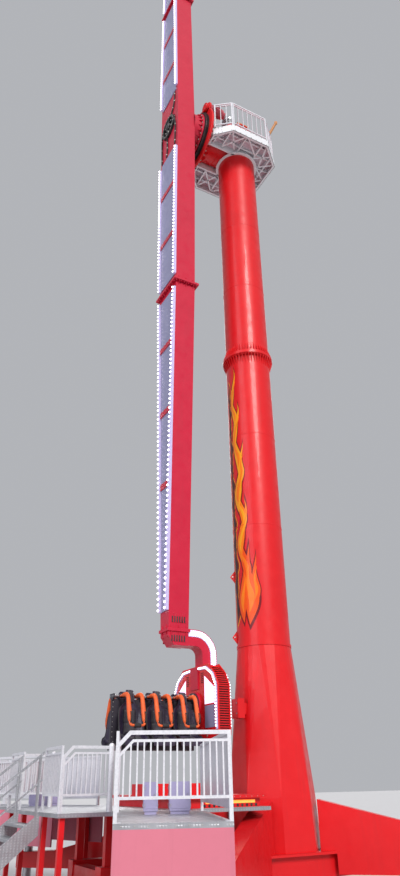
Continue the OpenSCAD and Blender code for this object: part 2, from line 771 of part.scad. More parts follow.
// Stations of the cross battens, spaced both ways from the arm's bolted joint
panel_r0 = rail_r0 - 160;
batten_in = [for (r = [joint_r - batten_first : -batten_pitch : panel_r0 + 0.7 * batten_pitch]) r];
batten_outer = [for (r = [joint_r + batten_first : batten_pitch : rail_r1 - 1.2 * batten_pitch]) r];
function face_hw(r) = arm_hw(r) - rail_w - 30;
module face_panel(r0, r1) {
    plate_yz(arm_x - panel_t, panel_t)
        polygon([[-face_hw(r0), -r0], [face_hw(r0), -r0], [face_hw(r1), -r1], [-face_hw(r1), -r1]]);
}
// Panels between r0 and r1, parted by the battens at rs
module panel_line(r0, r1, rs) {
    from = concat([r0], [for (r = rs) r + batten_h / 2]);
    to = concat([for (r = rs) r - batten_h / 2], [r1]);
    for (i = [0 : len(rs)]) face_panel(from[i], to[i]);
}
module face_panels() {
    color([0.62, 0.62, 0.78]) both_halves() {
        panel_line(panel_r0, joint_r - joint_free, [for (i = [len(batten_in) - 1 : -1 : 0]) batten_in[i]]);
        panel_line(joint_r + joint_free, rail_r1, batten_outer);
    }
}
module face_battens() {
    color(red) both_halves() for (r = concat(batten_in, batten_outer))
        plate_yz(arm_x - batten_out, batten_out)
            polygon([[-face_hw(r) - 10, -r + batten_h / 2], [face_hw(r) + 10, -r + batten_h / 2],
                [face_hw(r) + 10, -r - batten_h / 2], [-face_hw(r) - 10, -r - batten_h / 2]]);
}
// Light rail from r0 to r1 along one edge of the face, side s
module light_rail(r0, r1, s) {
    plate_yz(arm_x - rail_out, rail_out) polygon([
        [s * (arm_hw(r0) - 12), -r0], [s * (arm_hw(r0) - 12 - rail_w), -r0],
        [s * (arm_hw(r1) - 12 - rail_w), -r1], [s * (arm_hw(r1) - 12), -r1]]);
}
module light_rail_line(s) {
    light_rail(rail_r0, joint_r - joint_free, s);
    light_rail(joint_r + joint_free, rail_r1, s);
}
module light_rails_near() {
    color("white") {
        at_hub(-1) light_rail_line(-1);
        at_hub(1) light_rail_line(1);
    }
}
module light_rails_far() {
    color("white") {
        at_hub(-1) light_rail_line(1);
        at_hub(1) light_rail_line(-1);
    }
}
module hub_cover() {
    color("dimgray") translate([0, 0, hub_h]) {
        difference() {
            bar_x(arm_x - 70, arm_x + 120, hub_hole_r - 20);
            bar_x(arm_x - 80, arm_x + 40, hub_hole_r - 110);
        }
        bar_x(arm_x - 60, arm_x + 60, 150);
        for (a = [0 : 60 : 300]) rotate([a, 0, 0]) translate([0, 0, 220]) bar_x(arm_x - 10, arm_x + 60, 32);
    }
}

// Neck: leaves the end block toward the mast, bends outward and ends in the pivot's barrel
barrel_r = 250;
module neck() {
    difference() {
        union() {
            translate([arm_x + arm_dep(arm_r) - 20, -neck_w / 2, -neck_r0 - neck_w])
                cube([bend_x - (arm_x + arm_dep(arm_r) - 20), neck_w, neck_w]);
            translate([bend_x, 0, -bend_r]) rotate([90, 0, 0]) rotate_extrude(angle = 90)
                translate([neck_bend, -neck_w / 2]) square(neck_w);
            translate([-neck_x - neck_w, -neck_w / 2, -pivot_r]) cube([neck_w, neck_w, pivot_r - bend_r]);
            translate([0, 0, -pivot_r]) bar_x(shield_x0 - 40, -neck_x + 30, barrel_r);
        }
        translate([0, 0, -pivot_r]) bar_x(shield_x0 - 41, -neck_x - 60, pivot_shaft_r + run_gap);
        arm_form(joint_r, arm_r, 0);
        arm_flange(end_flange_r, 1, 28);
        arm_flange(end_flange_r, -1, 28);
    }
}
module neck_lower() {
    color(red) at_hub(-1) neck();
}
module neck_upper() {
    color(red) at_hub(1) neck();
}

// Outline of the shield, drawn outward (down) from the turning axis
function shield_pts(in) = [for (p = [[0, 1], [0.59, 1], [0.86, 0.853], [1, 0.69], [1, 0.05], [0.94, 0]])
    [p[0] * (shield_hw - in), -shield_r1 + in + p[1] * (shield_r1 - shield_r0 - 2 * in)]];
module shield_outline(in) {
    polygon(concat(shield_pts(in), [for (i = [5 : -1 : 1]) [-shield_pts(in)[i][0], shield_pts(in)[i][1]]]));
}
module shield() {
    n = floor((shield_r1 - shield_r0 - 120) / rib_pitch);
    difference() {
        union() {
            plate_yz(shield_x0, 30) shield_outline(0);
            plate_yz(shield_x0, shield_t) shield_outline(26);
            plate_yz(shield_x1 - 24, 24) shield_outline(0);
            intersection() {
                plate_yz(shield_x0, shield_t) shield_outline(4);
                for (i = [0 : n]) translate([shield_x0 - 10, -shield_hw, -shield_r1 + 60 + i * rib_pitch])
                    cube([shield_t + 20, 2 * shield_hw, rib_pitch * 0.42]);
            }
        }
        translate([-neck_x - neck_w, -neck_w / 2, -pivot_r]) cube([neck_w + 100, neck_w, 1000]);
        translate([0, 0, -pivot_r]) bar_x(shield_x0 - 50, -neck_x + 30, barrel_r);
    }
}
module shield_lower() {
    color(red) at_hub(-1) shield();
}
module shield_upper() {
    color(red) at_hub(1) shield();
}

// Gondola, drawn about its pivot with the seats hanging below
module at_pivot(half) {
    translate([0, 0, hub_h + half * pivot_r]) children();
}
beam_z0 = -seat_drop - 130;
module gondola() {
    // pivot shaft and its flange
    bar_x(shield_x0 - 40 - 40, -neck_x - 70, pivot_shaft_r);
    bar_x(row_x0 + 5, shield_x0 - 45, 230);
    // spine plate between the two rows
    plate_xz(0, spine_t) polygon([[row_x0 + 6, 200], [row_x0 + 6, beam_z0], [row_x0 - row_l, beam_z0],
        [row_x0 - row_l, 60], [row_x0 - 400, 60]]);
    // carrier tube under the seats
    translate([row_x0 - row_l, -back_gap / 2, beam_z0]) cube([row_l, back_gap, 120]);
    // hinge brackets on the spine's top
    for (i = [0 : row_seats]) translate([row_x0 - 15 - i * seat_pitch, 0, 0])
        plate_yz(-12, 24) difference() {
            polygon([[-25, 20], [-hinge_y - 45, hinge_z - 30], [-hinge_y - 45, hinge_z + 40],
                [hinge_y + 45, hinge_z + 40], [hinge_y + 45, hinge_z - 30], [25, 20]]);
            for (s = [-1, 1]) translate([s * hinge_y, hinge_z]) circle(r = hinge_r + run_gap);
        }
}
// One seat, on the -Y side, with its back toward the spine
by = -back_gap / 2;
module seat_profile() {
    polygon([[by, -seat_drop - pan_t], [by, -seat_drop + back_h], [by - back_t, -seat_drop + back_h],
        [by - back_t - 25, -seat_drop + 110], [by - back_t - 60, -seat_drop], [by - seat_d, -seat_drop + 40],
        [by - seat_d - 20, -seat_drop + 10], [by - seat_d - 10, -seat_drop - 60], [by - 120, -seat_drop - pan_t]]);
}
module cheek_profile() {
    polygon([[by - 10, -seat_drop - 60], [by - 10, -seat_drop + back_h - 170],
        [by - back_t - 100, -seat_drop + back_h - 230], [by - back_t - 120, -seat_drop + 220],
        [by - seat_d + 60, -seat_drop + 130], [by - seat_d - 5, -seat_drop + 60],
        [by - seat_d - 5, -seat_drop - 40]]);
}
module seat_row() {
    for (i = [0 : row_seats - 1]) translate([row_x0 - 15 - (i + 0.5) * seat_pitch, 0, 0]) {
        plate_yz(-seat_w / 2, seat_w) seat_profile();
        plate_yz(-88, 176) polygon([[by, -20], [by, 190], [by - 30, 225], [by - 80, 215], [by - 95, 150], [by - 90, -20]]);
        for (s = [-1, 1]) plate_yz(s * (seat_w / 2 - 20) - 20, 40) cheek_profile();
    }
}
// Harness of one seat, on the -Y side: a bare tube bends over each shoulder and
// carries a pad above and a pad down the chest, joined by a cross bar
harness_bend = 130;
harness_lean = 16;
tube_r = 28;
module harness_chest() {
    translate([0, -hinge_y - harness_out + harness_bend, hinge_z - harness_bend])
        rotate([-harness_lean, 0, 0]) translate([0, -harness_bend, 0]) children();
}
module harness_tube() {
    chest_l = harness_drop - harness_bend - 60;
    // over the shoulder
    translate([0, -hinge_y, hinge_z]) rotate([90, 0, 0]) {
        cylinder(r = tube_r, h = harness_out - harness_bend);
        translate([0, 0, 90]) cylinder(r = harness_d / 2, h = harness_out - harness_bend - 80);
    }
    // bend
    translate([0, -hinge_y - harness_out + harness_bend, hinge_z - harness_bend])
        rotate([0, 90, 0]) rotate([0, 0, 180]) rotate_extrude(angle = 90 - harness_lean)
            translate([harness_bend, 0]) circle(r = tube_r);
    // down the chest
    harness_chest() {
        translate([0, 0, -chest_l]) cylinder(r = harness_d / 2, h = chest_l + 8);
        translate([0, 0, -chest_l - 30]) cylinder(r = harness_d / 2 + 6, h = 60);
    }
}
module harness_row() {
    translate([0, -hinge_y, hinge_z])
        bar_x(row_x0 - 15 - row_seats * seat_pitch - 12, row_x0 - 3, hinge_r);
    for (i = [0 : row_seats - 1]) translate([row_x0 - 15 - (i + 0.5) * seat_pitch, 0, 0]) {
        for (s = [-1, 1]) translate([s * harness_w / 2, 0, 0]) harness_tube();
        harness_chest() translate([0, 0, -(harness_drop - harness_bend - 60)])
            bar_x(-harness_w / 2, harness_w / 2, tube_r);
    }
}
module gondola_lower() {
    color("dimgray") at_pivot(-1) gondola();
}
module gondola_upper() {
    color("dimgray") at_pivot(1) gondola();
}
module seats_lower_near() {
    color([0.15, 0.12, 0.2]) at_pivot(-1) seat_row();
}
module seats_lower_far() {
    color([0.15, 0.12, 0.2]) at_pivot(-1) mirror([0, 1, 0]) seat_row();
}
module seats_upper_near() {
    color([0.15, 0.12, 0.2]) at_pivot(1) seat_row();
}
module seats_upper_far() {
    color([0.15, 0.12, 0.2]) at_pivot(1) mirror([0, 1, 0]) seat_row();
}
module harness_lower_near() {
    color("orangered") at_pivot(-1) harness_row();
}
module harness_lower_far() {
    color("orangered") at_pivot(-1) mirror([0, 1, 0]) harness_row();
}
module harness_upper_near() {
    color("orangered") at_pivot(1) harness_row();
}
module harness_upper_far() {
    color("orangered") at_pivot(1) mirror([0, 1, 0]) harness_row();
}

base_frame();
outriggers();
foot_pads();
mast_foot();
mast_lower();
mast_upper();
mast_head();
slew_ring();
drive_motors();
head_deck();
head_rail_near();
head_rail_far();
head_rail_end();
davit_pole();
junction_box();
station_deck();
station_legs();
station_skirt();
boarding_plinth();
cabinets();
rail_front_near();
rail_front_far();
rail_sides_near();
rail_sides_far();
walkway_rails();
station_stairs();
arm_shaft();
arm_centre();
arm_lower();
arm_upper();
face_panels();
face_battens();
light_rails_near();
light_rails_far();
hub_cover();
neck_lower();
neck_upper();
shield_lower();
shield_upper();
gondola_lower();
seats_lower_near();
seats_lower_far();
harness_lower_near();
harness_lower_far();
gondola_upper();
seats_upper_near();
seats_upper_far();
harness_upper_near();
harness_upper_far();
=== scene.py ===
"""Looks of a rotating arm thrill ride: paint, lamps, seats, fixings and fittings on the fixed frame."""

import json
import math

import bmesh
import bpy
import numpy as np
from mathutils import Matrix, Vector


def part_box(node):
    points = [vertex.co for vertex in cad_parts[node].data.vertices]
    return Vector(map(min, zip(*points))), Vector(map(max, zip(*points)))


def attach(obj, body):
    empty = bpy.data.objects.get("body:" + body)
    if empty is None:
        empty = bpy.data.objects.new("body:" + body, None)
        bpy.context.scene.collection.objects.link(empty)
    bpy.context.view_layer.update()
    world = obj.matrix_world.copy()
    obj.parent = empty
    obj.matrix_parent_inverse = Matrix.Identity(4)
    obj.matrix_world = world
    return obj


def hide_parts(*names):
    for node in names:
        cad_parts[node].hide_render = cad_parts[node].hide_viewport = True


bl_info = {
    "name": "Rotating Arm Ride Dressing",
    "version": (1, 0, 0),
    "blender": (4, 5, 0),
    "location": "View3D > Sidebar > Ride",
    "description": "Dresses the frame of a rotating arm ride with paint, lamps, seats and fittings",
    "category": "Add Mesh",
}

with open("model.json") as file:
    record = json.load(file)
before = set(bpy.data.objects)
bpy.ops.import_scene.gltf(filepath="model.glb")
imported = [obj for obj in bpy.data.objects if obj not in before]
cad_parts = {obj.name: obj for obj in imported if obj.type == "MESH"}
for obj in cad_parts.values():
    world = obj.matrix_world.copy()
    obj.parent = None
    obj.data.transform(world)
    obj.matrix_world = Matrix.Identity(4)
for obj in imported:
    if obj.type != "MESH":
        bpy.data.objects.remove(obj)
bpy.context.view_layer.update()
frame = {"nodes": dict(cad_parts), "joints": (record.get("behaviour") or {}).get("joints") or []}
JOINTS = {j["name"]: j for j in frame["joints"]}

# Places taken from the frame, in metres
HUB_Z = JOINTS["arm_spin"]["pos_m"][2]
LOW_Z = JOINTS["lower_gondola_swing"]["pos_m"][2]
PIVOT_R = HUB_Z - LOW_Z
MAST_R = 0.6
MAST_JOINT_Z = (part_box("mast_lower")[1].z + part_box("mast_upper")[0].z) / 2
ARM_FRONT = -2.5
ARM_JOINT_R = HUB_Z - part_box("arm_centre")[0].z
ARM_END_R = HUB_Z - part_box("arm_lower")[0].z
SHIELD_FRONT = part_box("shield_lower")[0].x
SHIELD_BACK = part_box("shield_lower")[1].x
SEAT_PITCH = 0.575
SEAT_X = [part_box("seats_lower_near")[1].x - 0.26 - i * SEAT_PITCH for i in range(3)]
DECK_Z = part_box("station_deck")[1].z
HALVES = ("lower", "upper")
SIDES = (("near", 1), ("far", -1))


def arm_half_width(r):
    """Half the arm's width at r metres from its turning axis."""
    if r < ARM_JOINT_R:
        return (1.24 - 0.20 * r / ARM_JOINT_R) / 2
    return (1.04 - 0.67 * (r - ARM_JOINT_R) / (ARM_END_R - ARM_JOINT_R)) / 2


def arm_depth(r):
    """Depth of the arm from front to back at r metres from its turning axis."""
    if r < ARM_JOINT_R:
        return 0.60 - 0.03 * r / ARM_JOINT_R
    return 0.57 - 0.10 * (r - ARM_JOINT_R) / (ARM_END_R - ARM_JOINT_R)


def to_half(half):
    """Matrix from the arm's own frame, hanging down from the axis, to the lower or upper half."""
    turn = Matrix.Rotation(math.pi if half == "upper" else 0.0, 4, "X")
    return Matrix.Translation((0, 0, HUB_Z)) @ turn


def to_pivot(half):
    """Matrix from the gondola's own frame to the lower or upper gondola."""
    return Matrix.Translation((0, 0, LOW_Z if half == "lower" else HUB_Z + PIVOT_R))


def mirrored(side):
    """Matrix that puts the near side's shapes on the far side when side is -1."""
    return Matrix.Diagonal((1, side, 1, 1))


# shapes
class Stock:
    """Vertices and faces of one joined mesh, with a finish number for each face."""

    def __init__(self):
        self.points, self.faces, self.finishes = [], [], []

    def add(self, shape, at=None, finish=0):
        """Adds a shape, moved by a matrix, its faces turned back outward where the matrix mirrors it."""
        points, faces = shape
        first = len(self.points)
        if at is None:
            self.points += [tuple(p) for p in points]
        else:
            self.points += [tuple(at @ Vector(p)) for p in points]
            if at.to_3x3().determinant() < 0:
                faces = [tuple(reversed(f)) for f in faces]
        self.faces += [tuple(i + first for i in f) for f in faces]
        self.finishes += [finish] * len(faces)

    def piece(self, name, body, finishes, slot, smooth=40, replaces=()):
        """Makes the mesh object on its body, smooth but for edges sharper than smooth degrees."""
        mesh = bpy.data.meshes.new(name)
        mesh.from_pydata(self.points, [], self.faces)
        mesh.update()
        for finish in finishes.split():
            mesh.materials.append(FINISHES[finish])
        mesh.polygons.foreach_set("material_index", np.array(self.finishes, np.int32))
        mesh.polygons.foreach_set("use_smooth", np.ones(len(mesh.polygons), bool))
        mesh.set_sharp_from_angle(angle=math.radians(smooth))
        piece = bpy.data.objects.new(name, mesh)
        bpy.context.scene.collection.objects.link(piece)
        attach(piece, body)
        if replaces:
            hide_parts(*replaces)
        return piece


# Quarter turns that lay a shape's Z axis along X, forward or backward
ALONG_X = Matrix.Rotation(math.pi / 2, 4, "Y")
AGAINST_X = Matrix.Rotation(-math.pi / 2, 4, "Y")


def shift(x, y, z):
    """Matrix that moves a shape."""
    return Matrix.Translation((x, y, z))


def spun(degrees):
    """Matrix that turns a shape about Z."""
    return Matrix.Rotation(math.radians(degrees), 4, "Z")


def facing(origin, normal):
    """Matrix that stands a shape's Z axis along normal at origin."""
    z = Vector(normal).normalized()
    x = Vector((0, 0, 1)).cross(z)
    if x.length < 1e-4:
        x = Vector((1, 0, 0)).cross(z)
    x.normalize()
    turn = Matrix((x, z.cross(x), z)).transposed().to_4x4()
    return Matrix.Translation(origin) @ turn


def on_face(y, z, x, ahead=-1):
    """Matrix for a fixing on a face across X, pointing toward -X when ahead is -1."""
    return facing((x, y, z), (ahead, 0, 0))


def on_edge(thickness):
    """Matrix that stands a flat plate on edge, its middle over the X axis."""
    return Matrix(((1, 0, 0, 0), (0, 0, -1, thickness / 2), (0, 1, 0, 0), (0, 0, 0, 1)))


def circle(n, radius, first=0.0):
    """Points (x, y) spaced evenly round a circle, starting at an angle in degrees."""
    angles = [math.radians(first) + 2 * math.pi * i / n for i in range(n)]
    return [(radius * math.cos(a), radius * math.sin(a)) for a in angles]


def turned(profile, n=12):
    """Shape turned about Z from (radius, height) points that run up the outside."""
    points, faces, rings = [], [], []
    for r, z in profile:
        ring = [(0, 0, z)] if r < 1e-6 else [(x, y, z) for x, y in circle(n, r)]
        rings.append(list(range(len(points), len(points) + len(ring))))
        points += ring
    for a, b in zip(rings, rings[1:]):
        for i in range(n):
            j = (i + 1) % n
            if len(a) == 1 and len(b) > 1:
                faces.append((a[0], b[j], b[i]))
            elif len(b) == 1 and len(a) > 1:
                faces.append((a[i], a[j], b[0]))
            elif len(a) > 1:
                faces.append((a[i], a[j], b[j], b[i]))
    return points, faces


def swept(path, radius, n=12):
    """Round bar along a path. radius is one number, or one for each point."""
    path = [Vector(p) for p in path]
    radii = [radius] * len(path) if isinstance(radius, (int, float)) else radius
    points, faces = [], []
    side = None
    for i, p in enumerate(path):
        ahead = path[min(i + 1, len(path) - 1)] - path[max(i - 1, 0)]
        ahead.normalize()
        if side is None:
            side = ahead.orthogonal().normalized()
        side = (side - ahead * side.dot(ahead)).normalized()
        across = ahead.cross(side)
        for k in range(n):
            a = 2 * math.pi * k / n
            points.append(p + (side * math.cos(a) + across * math.sin(a)) * radii[i])
    for i in range(len(path) - 1):
        for k in range(n):
            j = (k + 1) % n
            faces.append((i * n + k, i * n + j, (i + 1) * n + j, (i + 1) * n + k))
    last = (len(path) - 1) * n
    faces += [tuple(reversed(range(n))), tuple(range(last, last + n))]
    return points, faces


def taken(bm):
    """Points and faces out of a bmesh, which is freed."""
    bm.verts.index_update()
    shape = [v.co.copy() for v in bm.verts], [tuple(v.index for v in f.verts) for f in bm.faces]
    bm.free()
    return shape


def closed_shape(points, faces):
    """The shape with all its faces turned outward."""
    bm = bmesh.new()
    corners = [bm.verts.new(p) for p in points]
    for face in faces:
        bm.faces.new([corners[i] for i in face])
    bmesh.ops.recalc_face_normals(bm, faces=bm.faces)
    return taken(bm)


def layered_faces(rows, columns):
    """Faces that close two layers of a grid of points, the upper layer first."""
    wide = columns + 1

    def at(layer, i, k):
        return layer * (rows + 1) * wide + i * wide + k

    faces = []
    for i in range(rows):
        for k in range(columns):
            faces.append((at(0, i, k), at(0, i, k + 1), at(0, i + 1, k + 1), at(0, i + 1, k)))
            faces.append((at(1, i, k), at(1, i + 1, k), at(1, i + 1, k + 1), at(1, i, k + 1)))
        faces.append((at(0, i, 0), at(0, i + 1, 0), at(1, i + 1, 0), at(1, i, 0)))
        faces.append((at(0, i + 1, columns), at(0, i, columns), at(1, i, columns), at(1, i + 1, columns)))
    for k in range(columns):
        faces.append((at(0, 0, k + 1), at(0, 0, k), at(1, 0, k), at(1, 0, k + 1)))
        faces.append((at(0, rows, k), at(0, rows, k + 1), at(1, rows, k + 1), at(1, rows, k)))
    return faces


def eased_block(size, ease=0.004, rounds=1):
    """Box centred on the origin with eased edges."""
    bm = bmesh.new()
    bmesh.ops.create_cube(bm, size=1)
    bmesh.ops.scale(bm, vec=size, verts=bm.verts)
    reach = min(ease, min(size) * 0.45)
    bmesh.ops.bevel(bm, geom=list(bm.edges), offset=reach, segments=rounds, affect="EDGES")
    return taken(bm)


def plate(half_x, half_y, thickness, ease=0.0):
    """Flat rectangular plate centred on the Z axis."""
    corners = [(-half_x, -half_y), (half_x, -half_y), (half_x, half_y), (-half_x, half_y)]
    return sheet_form(corners, thickness, ease)


def sheet_form(outline, thickness, ease=0.0):
    """Flat plate from an outline in X and Y, from z = 0 up to its thickness, with its upper edge eased."""
    bm = bmesh.new()
    low = [bm.verts.new((x, y, 0)) for x, y in outline]
    base = bm.faces.new(low)
    area = sum(a[0] * b[1] - b[0] * a[1] for a, b in zip(outline, outline[1:] + outline[:1]))
    if base.normal.z > 0 or area > 0:
        base.normal_flip()
    raised = bmesh.ops.extrude_face_region(bm, geom=[base])
    tops = [v for v in raised["geom"] if isinstance(v, bmesh.types.BMVert)]
    bmesh.ops.translate(bm, vec=(0, 0, thickness), verts=tops)
    if ease:
        edges = [e for e in bm.edges if all(v in tops for v in e.verts)]
        bmesh.ops.bevel(bm, geom=edges, offset=ease, segments=1, affect="EDGES")
    bmesh.ops.recalc_face_normals(bm, faces=bm.faces)
    return taken(bm)


def joined(*shapes):
    """Several shapes as one."""
    both = Stock()
    for shape in shapes:
        both.add(shape)
    return both.points, both.faces


def hex_bolt(r):
    """Hexagon head on its washer, r being the thread's radius."""
    washer = turned([(2.0 * r, 0), (2.0 * r, 0.3 * r), (0, 0.3 * r)], 12)
    head = turned([(1.75 * r, 0.3 * r), (1.75 * r, 1.4 * r), (1.5 * r, 1.65 * r), (0, 1.65 * r)], 6)
    return joined(washer, head)


def stud_nut(r):
    """Nut on a washer with the thread's end standing out of it."""
    end = turned([(r, 1.6 * r), (r, 2.5 * r), (0.8 * r, 2.8 * r), (0, 2.8 * r)], 10)
    return joined(hex_bolt(r), end)


def lamp_bulb(r):
    """Domed lamp in its collar. Returns the collar and the dome."""
    collar = [(1.35, 0), (1.35, 0.35), (1.08, 0.55), (1.0, 0.5)]
    dome = [(1.0, 0.45), (0.98, 0.85), (0.8, 1.3), (0.45, 1.62), (0, 1.72)]
    return [turned([(r * out, r * up) for out, up in profile], 10) for profile in (collar, dome)]


def along_edge(a, b, pitch, inset=0.0):
    """Points from a to b at about the given pitch, starting inset from each end."""
    a, b = Vector(a), Vector(b)
    run = (b - a).length - 2 * inset
    n = max(1, round(run / pitch))
    ahead = (b - a).normalized()
    return [a + ahead * (inset + run * i / n) for i in range(n + 1)]


# finishes
def shade(hue, factor=1.0):
    """Colour with its alpha, made darker by a factor."""
    return (hue[0] * factor, hue[1] * factor, hue[2] * factor, 1.0)


FINISHES = {}


class Finish:
    """Node tree of one finish, on the object's own coordinates."""

    def __init__(self, key, name, colour, rough=0.4, metal=0.0, coat=0.0, level=0.5):
        self.material = bpy.data.materials.new(name)
        self.material.use_nodes = True
        self.tree = self.material.node_tree
        self.shader = self.tree.nodes["Principled BSDF"]
        self.shader.inputs["Base Color"].default_value = shade(colour)
        self.shader.inputs["Roughness"].default_value = rough
        self.shader.inputs["Metallic"].default_value = metal
        self.shader.inputs["Coat Weight"].default_value = coat
        self.shader.inputs["Specular IOR Level"].default_value = level
        self.colour, self.last_colour, self.last_bump = colour, None, None
        self.place = self.tree.nodes.new("ShaderNodeTexCoord").outputs["Object"]
        self.material.diffuse_color = shade(colour)
        FINISHES[key] = self.material

    def node(self, kind, **values):
        """New node with its settings."""
        made = self.tree.nodes.new(kind)
        for key, value in values.items():
            setattr(made, key, value)
        return made

    def link(self, out, into):
        """Joins two sockets."""
        self.tree.links.new(out, into)

    def pattern(self, kind, scale, **values):
        """New texture node of a given scale, placed on the object."""
        made = self.node(kind, **values)
        made.inputs["Scale"].default_value = scale
        self.link(self.place, made.inputs["Vector"])
        return made.outputs

    def mapped(self, turn, scale):
        """The place turned and stretched."""
        mapping = self.node("ShaderNodeMapping")
        mapping.inputs["Rotation"].default_value = turn
        mapping.inputs["Scale"].default_value = scale
        self.link(self.place, mapping.inputs["Vector"])
        return mapping.outputs["Vector"]

    def noise(self, scale, detail=4.0, rough=0.55, stretch=None):
        """Cloudy value, stretched along the axes where wanted."""
        made = self.node("ShaderNodeTexNoise")
        made.inputs["Scale"].default_value = scale
        made.inputs["Detail"].default_value = detail
        made.inputs["Roughness"].default_value = rough
        self.link(self.mapped((0, 0, 0), stretch) if stretch else self.place, made.inputs["Vector"])
        return made.outputs["Fac"]

    def range(self, value, low, high, to_low=0, to_high=1):
        """The value spread from one range to another."""
        made = self.node("ShaderNodeMapRange")
        for key, number in zip(("From Min", "From Max", "To Min", "To Max"), (low, high, to_low, to_high)):
            made.inputs[key].default_value = number
        self.link(value, made.inputs["Value"])
        return made.outputs["Result"]

    def tint(self, value, hue, amount):
        """Blends the colour so far toward hue where value is high."""
        mix = self.node("ShaderNodeMix", data_type="RGBA")
        if self.last_colour is None:
            mix.inputs[6].default_value = shade(self.colour)
        else:
            self.link(self.last_colour, mix.inputs[6])
        mix.inputs[7].default_value = shade(hue)
        self.link(self.range(value, 0, 1, 0, amount), mix.inputs[0])
        self.last_colour = mix.outputs[2]
        self.link(self.last_colour, self.shader.inputs["Base Color"])

    def cloud(self, scale, detail, low, high, hue, amount):
        """Tints the finish in clouds."""
        self.tint(self.range(self.noise(scale, detail), low, high), hue, amount)

    def roughness(self, value, high, to_low, to_high):
        """Roughness that follows a value."""
        self.link(self.range(value, 0.3, high, to_low, to_high), self.shader.inputs["Roughness"])

    def gloss(self, scale, detail, to_low, to_high, high=0.7):
        """Uneven gloss, by a roughness that wanders between two values."""
        self.roughness(self.noise(scale, detail), high, to_low, to_high)

    def bump(self, value, strength, distance):
        """Raises the surface by a value, over the bumps so far."""
        made = self.node("ShaderNodeBump")
        made.inputs["Strength"].default_value = strength
        made.inputs["Distance"].default_value = distance
        self.link(value, made.inputs["Height"])
        if self.last_bump is not None:
            self.link(self.last_bump, made.inputs["Normal"])
        self.last_bump = made.outputs["Normal"]
        self.link(self.last_bump, self.shader.inputs["Normal"])

    def grain(self, scale, detail, strength, distance):
        """Bumps the surface in a cloudy grain."""
        self.bump(self.noise(scale, detail), strength, distance)

    def glow(self, hue, strength):
        """Lets the surface shine by itself."""
        self.shader.inputs["Emission Color"].default_value = shade(hue)
        self.shader.inputs["Emission Strength"].default_value = strength


def paint(key, name, colour, dark=0.72, light=1.18, rough=0.38, coat=0.12, weather=0.3, peel=0.25):
    """Sprayed paint: cloudy colour, dust streaks that run down, faint orange peel and uneven gloss."""
    made = Finish(key, name, colour, rough, 0.0, coat, 0.3)
    made.cloud(0.9, 5, 0.45, 0.75, shade(colour, dark), weather)
    made.cloud(3.5, 4, 0.5, 0.8, [min(1.0, c * light + 0.01) for c in colour], weather)
    streaks = made.noise(1.0, 6, 0.6, (7.0, 7.0, 0.35))
    made.tint(made.range(streaks, 0.55, 0.82), [c * 0.55 + 0.02 for c in colour], weather * 0.8)
    made.cloud(9, 5, 0.55, 0.85, shade(colour, 0.8), weather * 0.5)
    made.gloss(5, 5, max(0.05, rough - 0.10), rough + 0.16, 0.75)
    made.grain(140, 2, peel * 0.25, 0.001)
    made.grain(1.6, 3, peel * 0.35, 0.01)


def paints(colours):
    """The painted finishes."""
    paint("red", "mast_red_paint", colours.paint_red)
    paint("arm_red", "arm_red_paint", colours.arm_red, rough=0.42, weather=0.28)
    paint("shield_red", "shield_gelcoat_red", colours.paint_red, rough=0.24, coat=0.3, weather=0.2,
          peel=0.1)
    paint("white", "platform_white_paint", colours.platform_white, 0.8, 1.02, 0.45, 0.05, 0.3)
    paint("lilac", "face_panel_lilac_paint", colours.panel_lilac, 0.78, 1.12, 0.4, 0.1, 0.35)
    paint("pink", "motor_drum_pink_paint", (0.52, 0.10, 0.13), 0.7, 1.15, 0.4, 0.2)
    paint("tan", "davit_tan_paint", (0.50, 0.22, 0.08), 0.7, 1.15, 0.45, 0.1)
    paint("dark", "gondola_dark_paint", (0.035, 0.030, 0.042), 0.7, 1.4, 0.45, 0.1, 0.5)
    paint("plinth", "plinth_lilac_gloss", (0.36, 0.33, 0.52), 0.78, 1.12, 0.25, 0.4, 0.3)
    # floor sheet under the platform: its pink is painted reflection of the red parts round it, made lighter
    # to offset the shade beneath the platform, which is painted light
    paint("underfloor", "platform_underfloor_paint", (0.80, 0.60, 0.66), 0.85, 1.05, 0.5, 0.05, 0.4)
    paint("skirt", "skirt_panel_pale_pink", colours.skirt_pink, 0.86, 1.03, 0.5, 0.1, 0.4)
    paint("shade", "slat_shadow_red", (0.085, 0.006, 0.010), 0.6, 1.2, 0.6, 0.0, 0.4)


